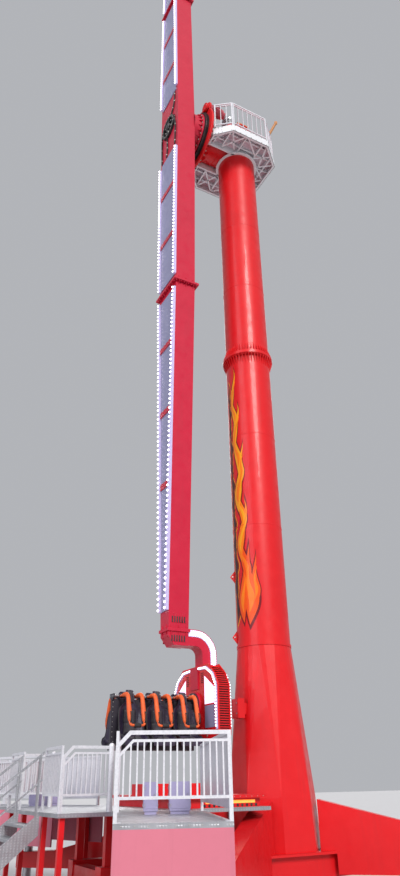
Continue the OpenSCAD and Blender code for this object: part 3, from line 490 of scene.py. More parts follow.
def metals():
    """Rails, bare steel, bolts, the greased ring and the chequer plate."""
    rails = Finish("rail", "galvanised_rail", (0.70, 0.70, 0.74), 0.38, 0.35)
    rails.cloud(38, 2, 0.5, 0.62, (0.56, 0.57, 0.62), 0.55)
    rails.cloud(2.2, 5, 0.5, 0.8, (0.82, 0.82, 0.86), 0.6)
    rails.gloss(30, 3, 0.3, 0.52)
    rails.grain(60, 3, 0.12, 0.001)

    steel = Finish("steel", "machined_steel", (0.40, 0.41, 0.43), 0.34, 0.9)
    steel.cloud(9, 6, 0.45, 0.8, (0.26, 0.26, 0.27), 0.6)
    steel.cloud(2.0, 5, 0.62, 0.85, (0.24, 0.13, 0.07), 0.45)
    steel.roughness(steel.noise(40, 3, 0.5, (1, 1, 6)), 0.7, 0.26, 0.48)
    steel.grain(120, 3, 0.1, 0.0006)

    bolt = Finish("bolt", "zinc_bolt", (0.46, 0.45, 0.42), 0.36, 0.85)
    bolt.cloud(30, 4, 0.5, 0.8, (0.28, 0.24, 0.18), 0.55)
    bolt.gloss(55, 3, 0.28, 0.5)

    grease = Finish("ring", "dark_ring_steel", (0.05, 0.05, 0.055), 0.42, 0.7)
    grease.cloud(7, 5, 0.45, 0.75, (0.11, 0.10, 0.09), 0.7)
    grease.gloss(14, 4, 0.25, 0.6, 0.75)
    grease.grain(70, 3, 0.15, 0.001)

    chequer = Finish("chequer", "chequer_plate", (0.40, 0.41, 0.44), 0.42, 0.75)
    lozenge = chequer.node("ShaderNodeTexVoronoi", feature="F1", distance="CHEBYCHEV")
    lozenge.inputs["Scale"].default_value = 26.0
    lozenge.inputs["Randomness"].default_value = 0.0
    chequer.link(chequer.mapped((0, 0, math.radians(45)), (1.0, 1.7, 1.0)), lozenge.inputs["Vector"])
    raised = chequer.range(lozenge.outputs["Distance"], 0.22, 0.34, 1, 0)
    chequer.cloud(2.4, 6, 0.45, 0.8, (0.22, 0.21, 0.22), 0.65)
    chequer.tint(raised, (0.56, 0.57, 0.60), 0.45)
    chequer.gloss(6, 5, 0.3, 0.58, 0.75)
    chequer.bump(raised, 0.55, 0.003)


def lights(colours):
    """Opal bulbs and their channel, whose faint glow is painted light from the bulbs, lit panels and the
    amber strip.
    """
    lamp = Finish("lamp", "lit_bulb_opal", colours.lamp_white, 0.25)
    lamp.glow(colours.lamp_white, colours.lamp_strength)
    lamp.cloud(90, 2, 0.4, 0.7, (0.93, 0.88, 1.0), 0.5)

    channel = Finish("channel", "lamp_channel_lilac", (0.46, 0.42, 0.62), 0.4)
    # painted glow: the channel is no lamp, and this faint violet glow stands for the bulbs' light falling on
    # it
    channel.glow((0.66, 0.55, 1.0), colours.lamp_strength * 0.06)
    channel.cloud(12, 4, 0.45, 0.75, (0.34, 0.30, 0.50), 0.5)
    channel.grain(80, 2, 0.1, 0.001)

    lit = Finish("lit", "lit_panel_opal", (0.82, 0.70, 0.95), 0.35)
    lit.glow((0.95, 0.74, 1.0), 0.9)
    lit.cloud(5, 4, 0.4, 0.75, (0.66, 0.50, 0.92), 0.5)
    lit.grain(60, 2, 0.08, 0.001)

    amber = Finish("amber", "amber_light_strip", (1.0, 0.33, 0.06), 0.3)
    amber.glow((1.0, 0.30, 0.04), 1.2)
    amber.cloud(16, 3, 0.4, 0.7, (1.0, 0.52, 0.16), 0.7)
    amber.grain(70, 2, 0.1, 0.001)


def seat_finishes(colours):
    """Shell, padding, harness, grips and belts."""
    shell = Finish("shell", "seat_shell_plastic", colours.seat_shell, 0.3, 0.0, 0.3)
    shell.cloud(3, 5, 0.45, 0.75, (0.055, 0.040, 0.085), 0.7)
    shell.gloss(24, 4, 0.24, 0.46)
    shell.grain(220, 2, 0.12, 0.0006)

    vinyl = Finish("vinyl", "seat_pad_vinyl", (0.030, 0.027, 0.036), 0.5, 0.0, 0.08)
    leather = vinyl.pattern("ShaderNodeTexVoronoi", 240.0, feature="DISTANCE_TO_EDGE")
    vinyl.cloud(5, 5, 0.45, 0.75, (0.075, 0.065, 0.085), 0.7)
    vinyl.gloss(18, 4, 0.4, 0.62)
    vinyl.bump(vinyl.range(leather["Distance"], 0.0, 0.12), 0.25, 0.0008)
    vinyl.grain(14, 3, 0.2, 0.004)

    foam = Finish("foam", "harness_foam_orange", colours.harness_orange, 0.62)
    foam.cloud(6, 5, 0.45, 0.75, (0.50, 0.07, 0.012), 0.6)
    foam.cloud(34, 3, 0.6, 0.8, (0.86, 0.30, 0.10), 0.4)
    foam.gloss(20, 4, 0.5, 0.75)
    foam.grain(260, 3, 0.3, 0.0008)
    foam.grain(9, 3, 0.25, 0.006)

    bar = Finish("bar", "harness_bar_paint", colours.harness_orange, 0.35, 0.1, 0.3)
    bar.cloud(8, 5, 0.5, 0.8, (0.42, 0.06, 0.01), 0.6)
    bar.gloss(20, 4, 0.28, 0.5)

    grip = Finish("grip", "rubber_grip", (0.018, 0.018, 0.02), 0.75)
    grip.cloud(30, 4, 0.45, 0.75, (0.05, 0.05, 0.055), 0.6)
    ridges = grip.pattern("ShaderNodeTexWave", 40.0, wave_type="BANDS", bands_direction="X")
    grip.bump(ridges["Fac"], 0.4, 0.001)

    webbing = Finish("webbing", "belt_webbing", (0.035, 0.035, 0.042), 0.7)
    twill = webbing.pattern("ShaderNodeTexWave", 120.0, wave_type="BANDS", bands_direction="DIAGONAL")
    webbing.tint(webbing.range(twill["Fac"], 0.3, 0.8), (0.075, 0.075, 0.085), 0.7)
    webbing.bump(twill["Fac"], 0.3, 0.0008)


def film_and_floor():
    """Printed films of the flames, and the studio's floor."""
    for name, hue, other in (("flame_dark", (0.20, 0.004, 0.008), (0.13, 0.003, 0.006)),
                             ("flame_black", (0.030, 0.006, 0.008), (0.018, 0.004, 0.005)),
                             ("flame_orange", (0.85, 0.10, 0.004), (0.70, 0.055, 0.004)),
                             ("flame_amber", (0.90, 0.22, 0.006), (0.80, 0.13, 0.005)),
                             ("flame_yellow", (0.88, 0.38, 0.010), (0.82, 0.26, 0.008))):
        film = Finish(name, name + "_film", hue, 0.34, 0.0, 0.1, 0.3)
        film.cloud(1.2, 4, 0.35, 0.75, other, 0.8)
        film.gloss(6, 4, 0.3, 0.48)
    floor = Finish("floor", "studio_floor", (0.55, 0.55, 0.56), 0.85)
    floor.cloud(0.6, 4, 0.4, 0.7, (0.51, 0.51, 0.52), 0.4)


# Nodes of the frame that take each finish
NODE_FINISHES = {
    "red": "base_frame outriggers mast_foot "
           "mast_lower mast_upper mast_head junction_box station_legs boarding_plinth",
    "arm_red": "arm_centre arm_lower arm_upper face_battens neck_lower neck_upper",
    "shield_red": "shield_lower shield_upper",
    "steel": "foot_pads",
    "ring": "slew_ring hub_cover arm_shaft",
    "pink": "drive_motors",
    "white": "head_deck",
    "rail": "head_rail_near head_rail_far head_rail_end rail_front_near rail_front_far "
            "rail_sides_near rail_sides_far walkway_rails",
    "tan": "davit_pole",
    "chequer": "station_deck station_stairs",
    "skirt": "station_skirt",
    "plinth": "cabinets",
    "lilac": "face_panels",
    # the light rails take the channel's finish with its painted glow
    "channel": "light_rails_near light_rails_far",
    "dark": "gondola_lower gondola_upper",
    "shell": "seats_lower_near seats_lower_far seats_upper_near seats_upper_far",
    "foam": "harness_lower_near harness_lower_far harness_upper_near harness_upper_far",
}


# mast and head
def ring_of(n, radius, z, up=1, first=0.0):
    """Matrices on a level circle, standing up or hanging down, starting at an angle in degrees."""
    return [shift(x, y, z) @ Matrix.Diagonal((1, 1, up, 1)) for x, y in circle(n, radius, first)]


# Heights of the weld beads and lugs, and the lugs' angle round the mast in degrees
BEADS_Z = (7.35, 9.8, 14.7, 17.1)
LUGS_Z, LUGS_AT = (4.8, 6.2), 154


def mast_fixings(bolt_r):
    """Bolts and ribs of the mast's bolted flange, weld beads, bolts of the lid and pins in the lugs."""
    stock = Stock()
    flange_t, gussets = 0.045, 24
    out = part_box("mast_lower")[1].x - MAST_R
    rib = sheet_form([(MAST_R - 0.004, 0), (MAST_R + out - 0.006, 0), (MAST_R + out - 0.006, 0.03),
                      (MAST_R - 0.004, 0.29)], 0.018, 0.003)
    for up, z in ((1, MAST_JOINT_Z + flange_t), (-1, MAST_JOINT_Z - flange_t)):
        shape = hex_bolt(bolt_r) if up > 0 else stud_nut(bolt_r)
        for at in ring_of(2 * gussets, MAST_R + 0.048, z, up, 3.75):
            stock.add(shape, at, 1)
        # ribs between the plate and the tube, one over each welded rib and one in each gap
        for i in range(2 * gussets):
            turn = spun(7.5 * i) @ Matrix.Diagonal((1, 1, up, 1))
            stock.add(rib, shift(0, 0, z) @ turn @ on_edge(0.018), 1)
    bead = turned([(MAST_R - 0.002, -0.013), (MAST_R + 0.004, -0.009), (MAST_R + 0.0062, 0),
                   (MAST_R + 0.004, 0.009), (MAST_R - 0.002, 0.013)], 96)
    for z in BEADS_Z:
        stock.add(bead, shift(0, 0, z), 1)
    lid_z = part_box("mast_upper")[1].z
    for at in ring_of(16, MAST_R - 0.03, lid_z - 0.0005):
        stock.add(hex_bolt(bolt_r * 0.8), at)
    # pin in each lifting lug
    for z in LUGS_Z:
        a = math.radians(LUGS_AT)
        out = Vector((math.cos(a), math.sin(a), 0))
        pin = turned([(0.0, -0.034), (0.017, -0.034), (0.017, 0.034), (0.0, 0.034)], 12)
        stock.add(pin, facing(out * (MAST_R + 0.055) + Vector((0, 0, z)), out.cross(Vector((0, 0, 1)))))
    return stock.piece("mast_fixings", "structure", "bolt red", "steel")


def tongue(stock, finish, base, tip, width, sway, proud, rows=34, columns=6):
    """One lick of flame on the mast, from base to tip, each an angle in degrees and a height."""
    tops, lows = [], []
    for i in range(rows + 1):
        t = i / rows
        full = math.sin(math.pi * min(1.0, t / 0.36) / 2) if t < 0.36 else (1 - (t - 0.36) / 0.64) ** 1.15
        half = width * max(full, 0.0) + 0.0006
        s = math.radians(base[0] + (tip[0] - base[0]) * t) * MAST_R
        s += sway * math.sin(math.pi * 2.0 * t) + 0.03 * t * t * math.sin(math.pi * 3.0 * t)
        z = base[1] + (tip[1] - base[1]) * t
        top, low = [], []
        for k in range(columns + 1):
            across = -1 + 2 * k / columns
            a = math.pi + (s + across * half) / MAST_R
            lift = 0.5 * half * (1 - abs(across))
            for row, r in ((top, MAST_R + proud), (low, MAST_R + 0.0003)):
                row.append(len(stock.points))
                stock.points.append((r * math.cos(a), r * math.sin(a), z + lift * (0.2 - t)))
        tops.append(top)
        lows.append(low)
    quads = []
    for i in range(rows):
        for k in range(columns):
            quads.append((tops[i][k + 1], tops[i][k], tops[i + 1][k], tops[i + 1][k + 1]))
            quads.append((lows[i][k], lows[i][k + 1], lows[i + 1][k + 1], lows[i + 1][k]))
        quads.append((tops[i][0], lows[i][0], lows[i + 1][0], tops[i + 1][0]))
        quads.append((lows[i][-1], tops[i][-1], tops[i + 1][-1], lows[i + 1][-1]))
    for i, turn in ((0, 1), (rows, -1)):
        for k in range(columns):
            loop = (tops[i][k], tops[i][k + 1], lows[i][k + 1], lows[i][k])
            quads.append(loop if turn > 0 else tuple(reversed(loop)))
    stock.faces += quads
    stock.finishes += [finish] * len(quads)


# Licks of the flame motif: base angle and height, tip angle and height, half width, sway, and its colour
FLAME_LICKS = [((-12 + 9 * (i % 2), 5.05 + 0.52 * i), (-1 - 12 * (i % 2), 6.05 + 0.50 * i),
                0.105 - 0.004 * i, 0.05 - 0.10 * (i % 2), "dark") for i in range(12)]
FLAME_LICKS += [
    ((29, 4.98), (35, 6.85), 0.190, 0.050, "orange"), ((15, 5.05), (17, 6.55), 0.125, -0.040, "orange"),
    ((43, 5.35), (50, 6.60), 0.090, 0.030, "orange"), ((26, 5.80), (14, 7.40), 0.115, 0.060, "orange"),
    ((15, 6.45), (28, 8.05), 0.110, -0.060, "amber"), ((24, 7.15), (12, 8.60), 0.095, 0.055, "amber"),
    ((13, 7.70), (22, 9.25), 0.118, -0.045, "yellow"), ((19, 8.35), (33, 9.55), 0.072, 0.035, "yellow"),
    ((17, 8.70), (8, 10.20), 0.104, 0.045, "yellow"), ((10, 9.45), (22, 10.75), 0.080, -0.035, "yellow"),
    ((12, 10.00), (4, 11.25), 0.080, 0.040, "yellow"), ((6, 10.60), (15, 11.85), 0.062, -0.030, "yellow"),
]
# Rim, body and heart of a lick: finish number for each colour, share of the width, and how far up it starts
FLAME_LAYERS = ((1.24, -0.06, {"dark": 3, "orange": 0, "amber": 0, "yellow": 0}),
                (0.98, 0.0, {"dark": 0, "orange": 1, "amber": 2, "yellow": 3}),
                (0.42, 0.14, {"dark": 4, "orange": 2, "amber": 3, "yellow": 2}))


def mast_flames():
    """Flame artwork on the mast, each lick in three layers of film."""
    stock = Stock()
    for level, (share, cut, numbers) in enumerate(FLAME_LAYERS):
        for i, (base, tip, width, sway, colour) in enumerate(FLAME_LICKS):
            rise = tip[1] - base[1]
            low, high = (base[0], base[1] + cut * rise), (tip[0], tip[1] - cut * rise * 1.6)
            tongue(stock, numbers[colour], low, high, width * share, sway,
                   0.0012 + 0.0022 * level + 0.0001 * i)
    films = "flame_dark flame_orange flame_amber flame_yellow flame_black"
    return stock.piece("mast_flames", "structure", films, "red_paint", 60)


# The hub housing, its flange and the slewing drive, radii about the turning axis
HOUSING_R, FLANGE_R, RING_R, DRUM_R = 0.57, 1.05, 0.86, 0.78
FLANGE_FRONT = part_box("mast_head")[0].x
FLANGE_BACK = FLANGE_FRONT + 0.07
MOTOR_OUT = (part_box("drive_motors")[1].z - HUB_Z - 0.16) / math.cos(math.pi / 4)
LEVEL = shift(0, 0, HUB_Z) @ AGAINST_X


def at_motor(side, x=0):
    """Matrix for the drive motor on one side of the hub, x along its axis."""
    return shift(0, 0, HUB_Z) @ Matrix.Rotation(math.radians(45 * side), 4, "X") @ shift(x, 0, MOTOR_OUT)


def head_casting(bolt_r):
    """Housing tube with its gusseted flange, round ears for the motors, and the bolts of the flange."""
    stock = Stock()
    back, front = -FLANGE_BACK, -FLANGE_FRONT
    tube = [(HOUSING_R, 0.20), (HOUSING_R, 0.78), (HOUSING_R + 0.012, 0.79), (HOUSING_R + 0.012, 0.83),
            (HOUSING_R, 0.84), (HOUSING_R, back - 0.06), (HOUSING_R + 0.02, back - 0.02),
            (HOUSING_R + 0.06, back), (FLANGE_R - 0.01, back), (FLANGE_R, back + 0.01),
            (FLANGE_R, front - 0.01), (FLANGE_R - 0.01, front), (DRUM_R - 0.2, front)]
    stock.add(turned(tube, 96), LEVEL)
    rib = sheet_form([(HOUSING_R - 0.02, back + 0.01), (FLANGE_R - 0.14, back + 0.01),
                      (FLANGE_R - 0.14, back - 0.03),
                      (HOUSING_R - 0.02, back - 0.32)], 0.020, 0.003)
    for k in range(18):
        stock.add(rib, LEVEL @ spun(10 + 20 * k) @ on_edge(0.020))
        for turn in (-6, 6):
            a = math.radians(10 + 20 * k + turn)
            y, z = (FLANGE_R - 0.06) * math.sin(a), (FLANGE_R - 0.06) * math.cos(a)
            stock.add(stud_nut(bolt_r), on_face(y, HUB_Z + z, FLANGE_BACK, 1), 1)
    ear = turned([(0.0, back + 0.001), (0.20, back + 0.001), (0.21, back + 0.01), (0.21, front - 0.01),
                  (0.20, front), (0, front)], 40)
    for s in (-1, 1):
        at = at_motor(s) @ AGAINST_X
        stock.add(ear, at)
    return stock.piece("head_casting", "structure", "red bolt", "red_paint", replaces=("mast_head",))


def slewing_ring(bolt_r):
    """Toothed ring on the flange with a smooth lip, and the pinions' round covers."""
    stock = Stock()
    teeth, low, high = 120, -FLANGE_FRONT, -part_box("slew_ring")[0].x
    points, faces = [], []
    heights = (low, low + 0.006, high - 0.036, high - 0.030, high - 0.028, high)
    for h, z in enumerate(heights):
        for k in range(2 * teeth):
            for t in (0.25, 0.75):
                a = math.pi * (k + t) / teeth
                radius = RING_R if (k % 2 == 0 and h < 4) else RING_R - 0.022
                points.append((radius * math.cos(a), radius * math.sin(a), z))
    n = 4 * teeth
    for h in range(len(heights) - 1):
        for k in range(n):
            j = (k + 1) % n
            faces.append((h * n + k, h * n + j, (h + 1) * n + j, (h + 1) * n + k))
    stock.add((points, faces), LEVEL)
    stock.add(turned([(RING_R - 0.022, high - 0.001), (RING_R - 0.03, high), (DRUM_R - 0.16, high),
                      (DRUM_R - 0.16, low)], 96), LEVEL)
    for s in (-1, 1):
        at = at_motor(s) @ AGAINST_X
        stock.add(turned([(0.150, low - 0.001), (0.155, low + 0.004), (0.155, high - 0.02),
                          (0.145, high - 0.01), (0, high - 0.008)], 32), at, 1)
        for k in range(6):
            spot = at @ shift(0.12 * math.cos(k * math.pi / 3), 0.12 * math.sin(k * math.pi / 3),
                              high - 0.010)
            stock.add(hex_bolt(bolt_r * 0.5), spot, 2)
    return stock.piece("slewing_ring", "structure", "ring red bolt", "dark_steel", replaces=("slew_ring",))


def hub_drum(bolt_r):
    """Drum between the slewing ring and the arm's back plate, with a bolted rim and stiffeners."""
    stock = Stock()
    start = -(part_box("slew_ring")[0].x - 0.008)
    end = -(ARM_FRONT + arm_depth(0))
    stock.add(turned([(0.36, start - 0.15), (0.36, start), (DRUM_R - 0.05, start), (DRUM_R, start + 0.01),
                      (DRUM_R, start + 0.05), (DRUM_R - 0.01, start + 0.06),
                      (DRUM_R - 0.09, start + 0.065), (DRUM_R - 0.09, end + 0.02)], 96), LEVEL, 0)
    rib = sheet_form([(DRUM_R - 0.10, start + 0.06), (DRUM_R - 0.02, start + 0.06),
                      (DRUM_R - 0.02, start + 0.09), (DRUM_R - 0.10, start + 0.20)], 0.016, 0.003)
    for k in range(24):
        stock.add(rib, LEVEL @ spun(15 * k) @ on_edge(0.016))
        a = math.radians(15 * k + 7.5)
        spot = (DRUM_R - 0.045) * math.sin(a), (DRUM_R - 0.045) * math.cos(a)
        stock.add(hex_bolt(bolt_r), on_face(spot[0], HUB_Z + spot[1], -(start + 0.062), -1), 1)
    return stock.piece("hub_drum", "arm", "arm_red bolt", "red_paint", replaces=("arm_shaft",))


def head_fixings():
    """Cooling fins, terminal boxes and end caps of the two drive motors."""
    stock = Stock()
    for s in (-1, 1):
        at = at_motor(s, FLANGE_BACK)
        along = at @ ALONG_X
        for k in range(14):
            x = 0.05 + 0.027 * k
            fin = turned([(0.158, x), (0.170, x + 0.002), (0.170, x + 0.008), (0.158, x + 0.010)], 40)
            stock.add(fin, along, 1)
        stock.add(eased_block((0.16, 0.13, 0.05), 0.008), at @ shift(0.26, 0, 0.19), 1)
        for dx in (-0.06, 0.06):
            for dy in (-0.045, 0.045):
                stock.add(hex_bolt(0.005), at @ shift(0.26 + dx, dy, 0.215))
        gland = turned([(0.014, 0), (0.014, 0.02), (0.018, 0.022), (0.018, 0.035), (0.0, 0.035)], 10)
        stock.add(gland, at @ shift(0.34, 0, 0.19) @ ALONG_X)
        for k in range(6):
            a = math.pi / 3 * k
            cap = at @ shift(0.57, 0.085 * math.cos(a), 0.085 * math.sin(a)) @ ALONG_X
            stock.add(hex_bolt(0.007), cap)
    return stock.piece("head_fixings", "structure", "bolt pink", "steel")


# Plan of the platform's edge, from the arm's side round to the far end, and the slot for the housing
PLATFORM_SIDE = -1.36
DECK_EDGE = [(PLATFORM_SIDE, -0.86), (-1.18, -1.0), (-0.86, -1.29), (0.45, -1.29), (1.08, -0.72)]
DECK_EDGE += [(x, -y) for x, y in reversed(DECK_EDGE)]
SLOT_HALF = 0.50
# Ends (x, y, x, y) of the flat diagonal braces beneath the platform's near side
BRACES = ((-1.33, 0.55, -0.86, 1.25), (-0.86, 0.55, -0.30, 1.25), (-0.86, 1.25, -0.45, 0.62),
          (0.30, 0.62, 0.82, 0.95), (-0.30, 1.25, 0.30, 0.72), (0.45, 1.25, 0.62, 0.40),
          (0.62, 0.40, 1.05, 0.70), (0.62, 0.30, 1.05, 0.0))


def wall_strip(line, thickness, low, high):
    """Upright strip along a line of plan points, to the left of it, mitred at its corners."""
    points, faces = [], []
    for i, (x, y) in enumerate(line):
        here = Vector((x, y))
        before = (here - Vector(line[i - 1])).normalized() if i else None
        after = (Vector(line[i + 1]) - here).normalized() if i + 1 < len(line) else None
        before, after = before or after, after or before
        ahead = (before + after).normalized()
        side = Vector((-ahead.y, ahead.x)) * (thickness / max(0.3, ahead.dot(after)))
        for spot in (here, here + side):
            points += [(spot.x, spot.y, low), (spot.x, spot.y, high)]
    for i in range(len(line) - 1):
        a, b = 4 * i, 4 * (i + 1)
        faces += [(a, b, b + 1, a + 1), (a + 2, a + 3, b + 3, b + 2), (a + 1, b + 1, b + 3, a + 3),
                  (a, a + 2, b + 2, b)]
    last = 4 * (len(line) - 1)
    faces += [(0, 1, 3, 2), (last, last + 2, last + 3, last + 1)]
    return points, faces


def platform_deck():
    """Edge frame with its lips, floor, joists both ways and diagonal bracing beneath them."""
    stock = Stock()
    floor_z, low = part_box("head_rail_near")[0].z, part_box("head_deck")[0].z
    ring = [(PLATFORM_SIDE, -SLOT_HALF)] + DECK_EDGE + [(PLATFORM_SIDE, SLOT_HALF)]
    stock.add(wall_strip(ring, 0.012, low, floor_z))
    stock.add(wall_strip(ring, 0.070, low, low + 0.010))
    stock.add(wall_strip(ring, 0.055, floor_z - 0.010, floor_z))
    r, reach = MAST_R + 0.012, math.acos(SLOT_HALF / (MAST_R + 0.012))
    for s in (-1, 1):
        edge = [(PLATFORM_SIDE, s * SLOT_HALF), (-r * math.sin(reach), s * SLOT_HALF)]
        stock.add(wall_strip(edge[::-s], 0.05, low + 0.02, floor_z))
    floor = [(-1.35, -SLOT_HALF)] + [(x * 0.995, y * 0.995) for x, y in DECK_EDGE] + [(-1.35, SLOT_HALF)]
    for k in range(49):
        a = math.pi / 2 + reach - (math.pi + 2 * reach) * k / 48
        floor.append((r * math.cos(a), r * math.sin(a)))
    # floor sheet in the underfloor finish, whose pink is painted reflection and whose lightness is painted
    # light against the shade below
    stock.add(sheet_form(floor, 0.008), shift(0, 0, floor_z - 0.020), 1)

    def half_width(x):
        """Half the platform's width at x."""
        for (x0, y0), (x1, y1) in zip(DECK_EDGE[:5], DECK_EDGE[1:5] + [(1.08, -0.72)]):
            if x0 <= x <= x1 and x1 > x0:
                return -(y0 + (y1 - y0) * (x - x0) / (x1 - x0))
        return 0.72

    def joist(a, b, deep, wide=0.045):
        """Upright web with a flat along its foot, from a to b under the floor."""
        a, b = Vector(a), Vector(b)
        turn = Matrix.Rotation(math.atan2(b.y - a.y, b.x - a.x), 4, "Z")
        middle = (a + b) / 2
        web = eased_block(((b - a).length, 0.008, deep), 0.002)
        flat = eased_block(((b - a).length, wide, 0.008), 0.002)
        at = shift(middle.x, middle.y, floor_z - 0.020 - deep / 2) @ turn
        stock.add(web, at)
        stock.add(flat, at @ shift(0, 0, -deep / 2))

    for x in (-1.18, -0.86, -0.30, 0.30, 0.82):
        inner = SLOT_HALF if x < -0.4 else (math.sqrt(max(r * r - x * x, 0.0)) if abs(x) < r else 0.0)
        for s in (-1, 1):
            joist((x, s * (inner + 0.03), 0), (x, s * (half_width(x) - 0.02), 0), 0.19)
    for y in (0.72, 1.02):
        for s in (-1, 1):
            joist((-1.16 if y > 0.9 else -1.33, s * y, 0), (1.06 if y < 0.9 else 0.72, s * y, 0), 0.13)
    for y in (-0.30, 0.30):
        joist((math.sqrt(r * r - y * y) + 0.01, y, 0), (1.06, y, 0), 0.16)
    # flat diagonal braces across the underside
    for x0, y0, x1, y1 in BRACES:
        for s in (-1, 1):
            a, b = Vector((x0, s * y0, 0)), Vector((x1, s * y1, 0))
            turn = Matrix.Rotation(math.atan2(b.y - a.y, b.x - a.x), 4, "Z")
            middle = (a + b) / 2
            stock.add(eased_block(((b - a).length, 0.05, 0.008), 0.002),
                      shift(middle.x, middle.y, floor_z - 0.222) @ turn)
    collar = turned([(MAST_R + 0.002, low + 0.02), (MAST_R + 0.075, low + 0.02),
                     (MAST_R + 0.085, low + 0.03), (MAST_R + 0.085, low + 0.045),
                     (MAST_R + 0.02, low + 0.055), (MAST_R + 0.015, floor_z - 0.02)], 72)
    stock.add(collar)
    return stock.piece("platform_deck", "structure", "white underfloor", "pale_paint",
                       replaces=("head_deck",))


def platform_fittings(bolt_r):
    """Screws of the edge frame, feet of the railing's posts, and the motor drum and cabinet on the lid."""
    stock = Stock()
    floor_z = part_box("head_rail_near")[0].z
    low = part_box("head_deck")[0].z
    # screws along the edge frame
    for (x0, y0), (x1, y1) in zip(DECK_EDGE, DECK_EDGE[1:]):
        run = Vector((x1 - x0, y1 - y0, 0))
        out = Vector((run.y, -run.x, 0)).normalized()
        if run.length < 0.2 or run.length > 1.6:
            continue
        for p in along_edge((x0, y0, 0), (x1, y1, 0), 0.21, 0.06):
            for z in (floor_z - 0.035, low + 0.035):
                stock.add(hex_bolt(bolt_r * 0.5), facing(p + out * -0.0004 + Vector((0, 0, z)), out))
    # flat feet of the railing's end posts
    for x, y in ((-1.33, 0.91), (-0.84, 1.26), (0.44, 1.26), (1.05, 0.71)):
        for s in (-1, 1):
            foot = shift(x * 0.985, s * y * 0.965, floor_z + 0.004)
            stock.add(eased_block((0.10, 0.10, 0.008), 0.002), foot, 1)
            for dx in (-0.035, 0.035):
                for dy in (-0.035, 0.035):
                    stock.add(hex_bolt(0.005), foot @ shift(dx, dy, 0.004))
    # motor drum and tan cabinet on the mast's lid
    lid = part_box("mast_upper")[1].z
    drum = [(0.0, 0), (0.25, 0), (0.25, 0.05)]
    for k in range(9):
        drum += [(0.22, 0.07 + 0.05 * k), (0.245, 0.075 + 0.05 * k), (0.245, 0.095 + 0.05 * k),
                 (0.22, 0.10 + 0.05 * k)]
    drum += [(0.24, 0.56), (0.23, 0.62), (0.12, 0.66), (0, 0.67)]
    stock.add(turned(drum, 32), shift(-0.27, -0.10, lid), 2)
    stock.add(eased_block((0.46, 0.40, 0.70), 0.012, 2), shift(0.27, -0.02, lid + 0.35), 3)
    door = facing((0.27, -0.22, lid + 0.35), (0, -1, 0))
    stock.add(plate(0.20, 0.31, 0.008, 0.004), door, 3)
    for z in (-0.22, 0.22):
        stock.add(turned([(0.02, 0), (0.02, 0.012), (0.012, 0.02), (0, 0.02)], 12),
                  door @ shift(0.16, z, 0.008))
    return stock.piece("platform_fittings", "structure", "bolt white steel tan", "steel")


def lifting_pole():
    """Tan pole that leans out over the end of the platform, with a sheave between two cheeks at its head."""
    stock = Stock()
    floor_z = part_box("head_rail_near")[0].z
    base = Vector((0.94, -0.60, floor_z))
    lean = Vector((0.3557, -0.1972, 0.9135)).normalized()
    knee = base + Vector((0, 0, 1.14))
    head = knee + lean * 0.90
    path = [base + Vector((0, 0, 0.004)), base + Vector((0, 0, 0.5)), knee + Vector((0, 0, -0.10)),
            knee + Vector((0.004, -0.002, -0.03)),
            knee + lean * 0.05, knee + lean * 0.15, head]
    stock.add(swept(path, 0.045, 20))
    stock.add(turned([(0.0, 0.0), (0.105, 0.0), (0.105, 0.012), (0.06, 0.018), (0.052, 0.06),
                      (0.046, 0.065)], 24), Matrix.Translation(base))
    for k in range(4):
        a = math.radians(45 + 90 * k)
        spot = base + Vector((0.082 * math.cos(a), 0.082 * math.sin(a), 0.012))
        stock.add(hex_bolt(0.008), Matrix.Translation(spot), 1)
    across = Vector((0.49, 0.87, 0)).normalized()
    wheel = turned([(0.0, -0.016), (0.048, -0.016), (0.048, -0.010), (0.036, -0.003), (0.036, 0.003),
                    (0.048, 0.010),
                    (0.048, 0.016), (0.0, 0.016)], 24)
    centre = head + lean * 0.02
    stock.add(wheel, facing(centre, across), 1)
    for s in (-1, 1):
        cheek = facing(centre + across * 0.020 * s, across * s)
        stock.add(sheet_form([(-0.05, -0.055), (0.05, -0.055), (0.055, 0.0), (0.04, 0.06), (-0.04, 0.06),
                              (-0.055, 0.0)], 0.006), cheek)
    return stock.piece("lifting_pole", "structure", "tan bolt", "davit_tan", replaces=("davit_pole",))


# arm
def arm_fixings(bolt_r):
    """Bolts of the arm's flange joints and louvres on the sides of its ends."""
    stock = Stock()
    half, depth = arm_half_width(ARM_JOINT_R), arm_depth(ARM_JOINT_R)
    places = []
    for y in (-0.50, -0.26, 0.0, 0.26, 0.50):
        places += [(ARM_FRONT - 0.047, y), (ARM_FRONT + depth + 0.047, y)]
    for share in (-0.03, 0.21, 0.40, 0.60, 0.79, 1.03):
        places += [(ARM_FRONT + depth * share, s * (half + 0.047)) for s in (-1, 1)]
    for side in HALVES:
        at = to_half(side)
        for x, y in places:
            stock.add(hex_bolt(bolt_r), at @ shift(x, y, -ARM_JOINT_R + 0.032))
            below = at @ shift(x, y, -ARM_JOINT_R - 0.032) @ Matrix.Diagonal((1, 1, -1, 1))
            stock.add(stud_nut(bolt_r), below)
        # louvres in two rows on the sides of the arm's end, over the neck's root; each opening is a dark
        # plate of painted shade under a red lip
        slot = plate(0.013, 0.10, 0.002)
        lip = plate(0.005, 0.105, 0.012, 0.003)
        for r in (ARM_END_R - 0.56, ARM_END_R - 0.17):
            lean = (arm_half_width(r + 0.1) - arm_half_width(r - 0.1)) / 0.2
            for s in (-1, 1):
                for k in range(6):
                    spot = at @ facing((ARM_FRONT + 0.085 + 0.058 * k, s * arm_half_width(r), -r),
                        (0, s, -lean))
                    stock.add(slot, spot, 2)
                    stock.add(lip, spot @ shift(0.019, 0, 0), 1)
    return stock.piece("arm_fixings", "arm", "arm_red arm_red ring", "steel")


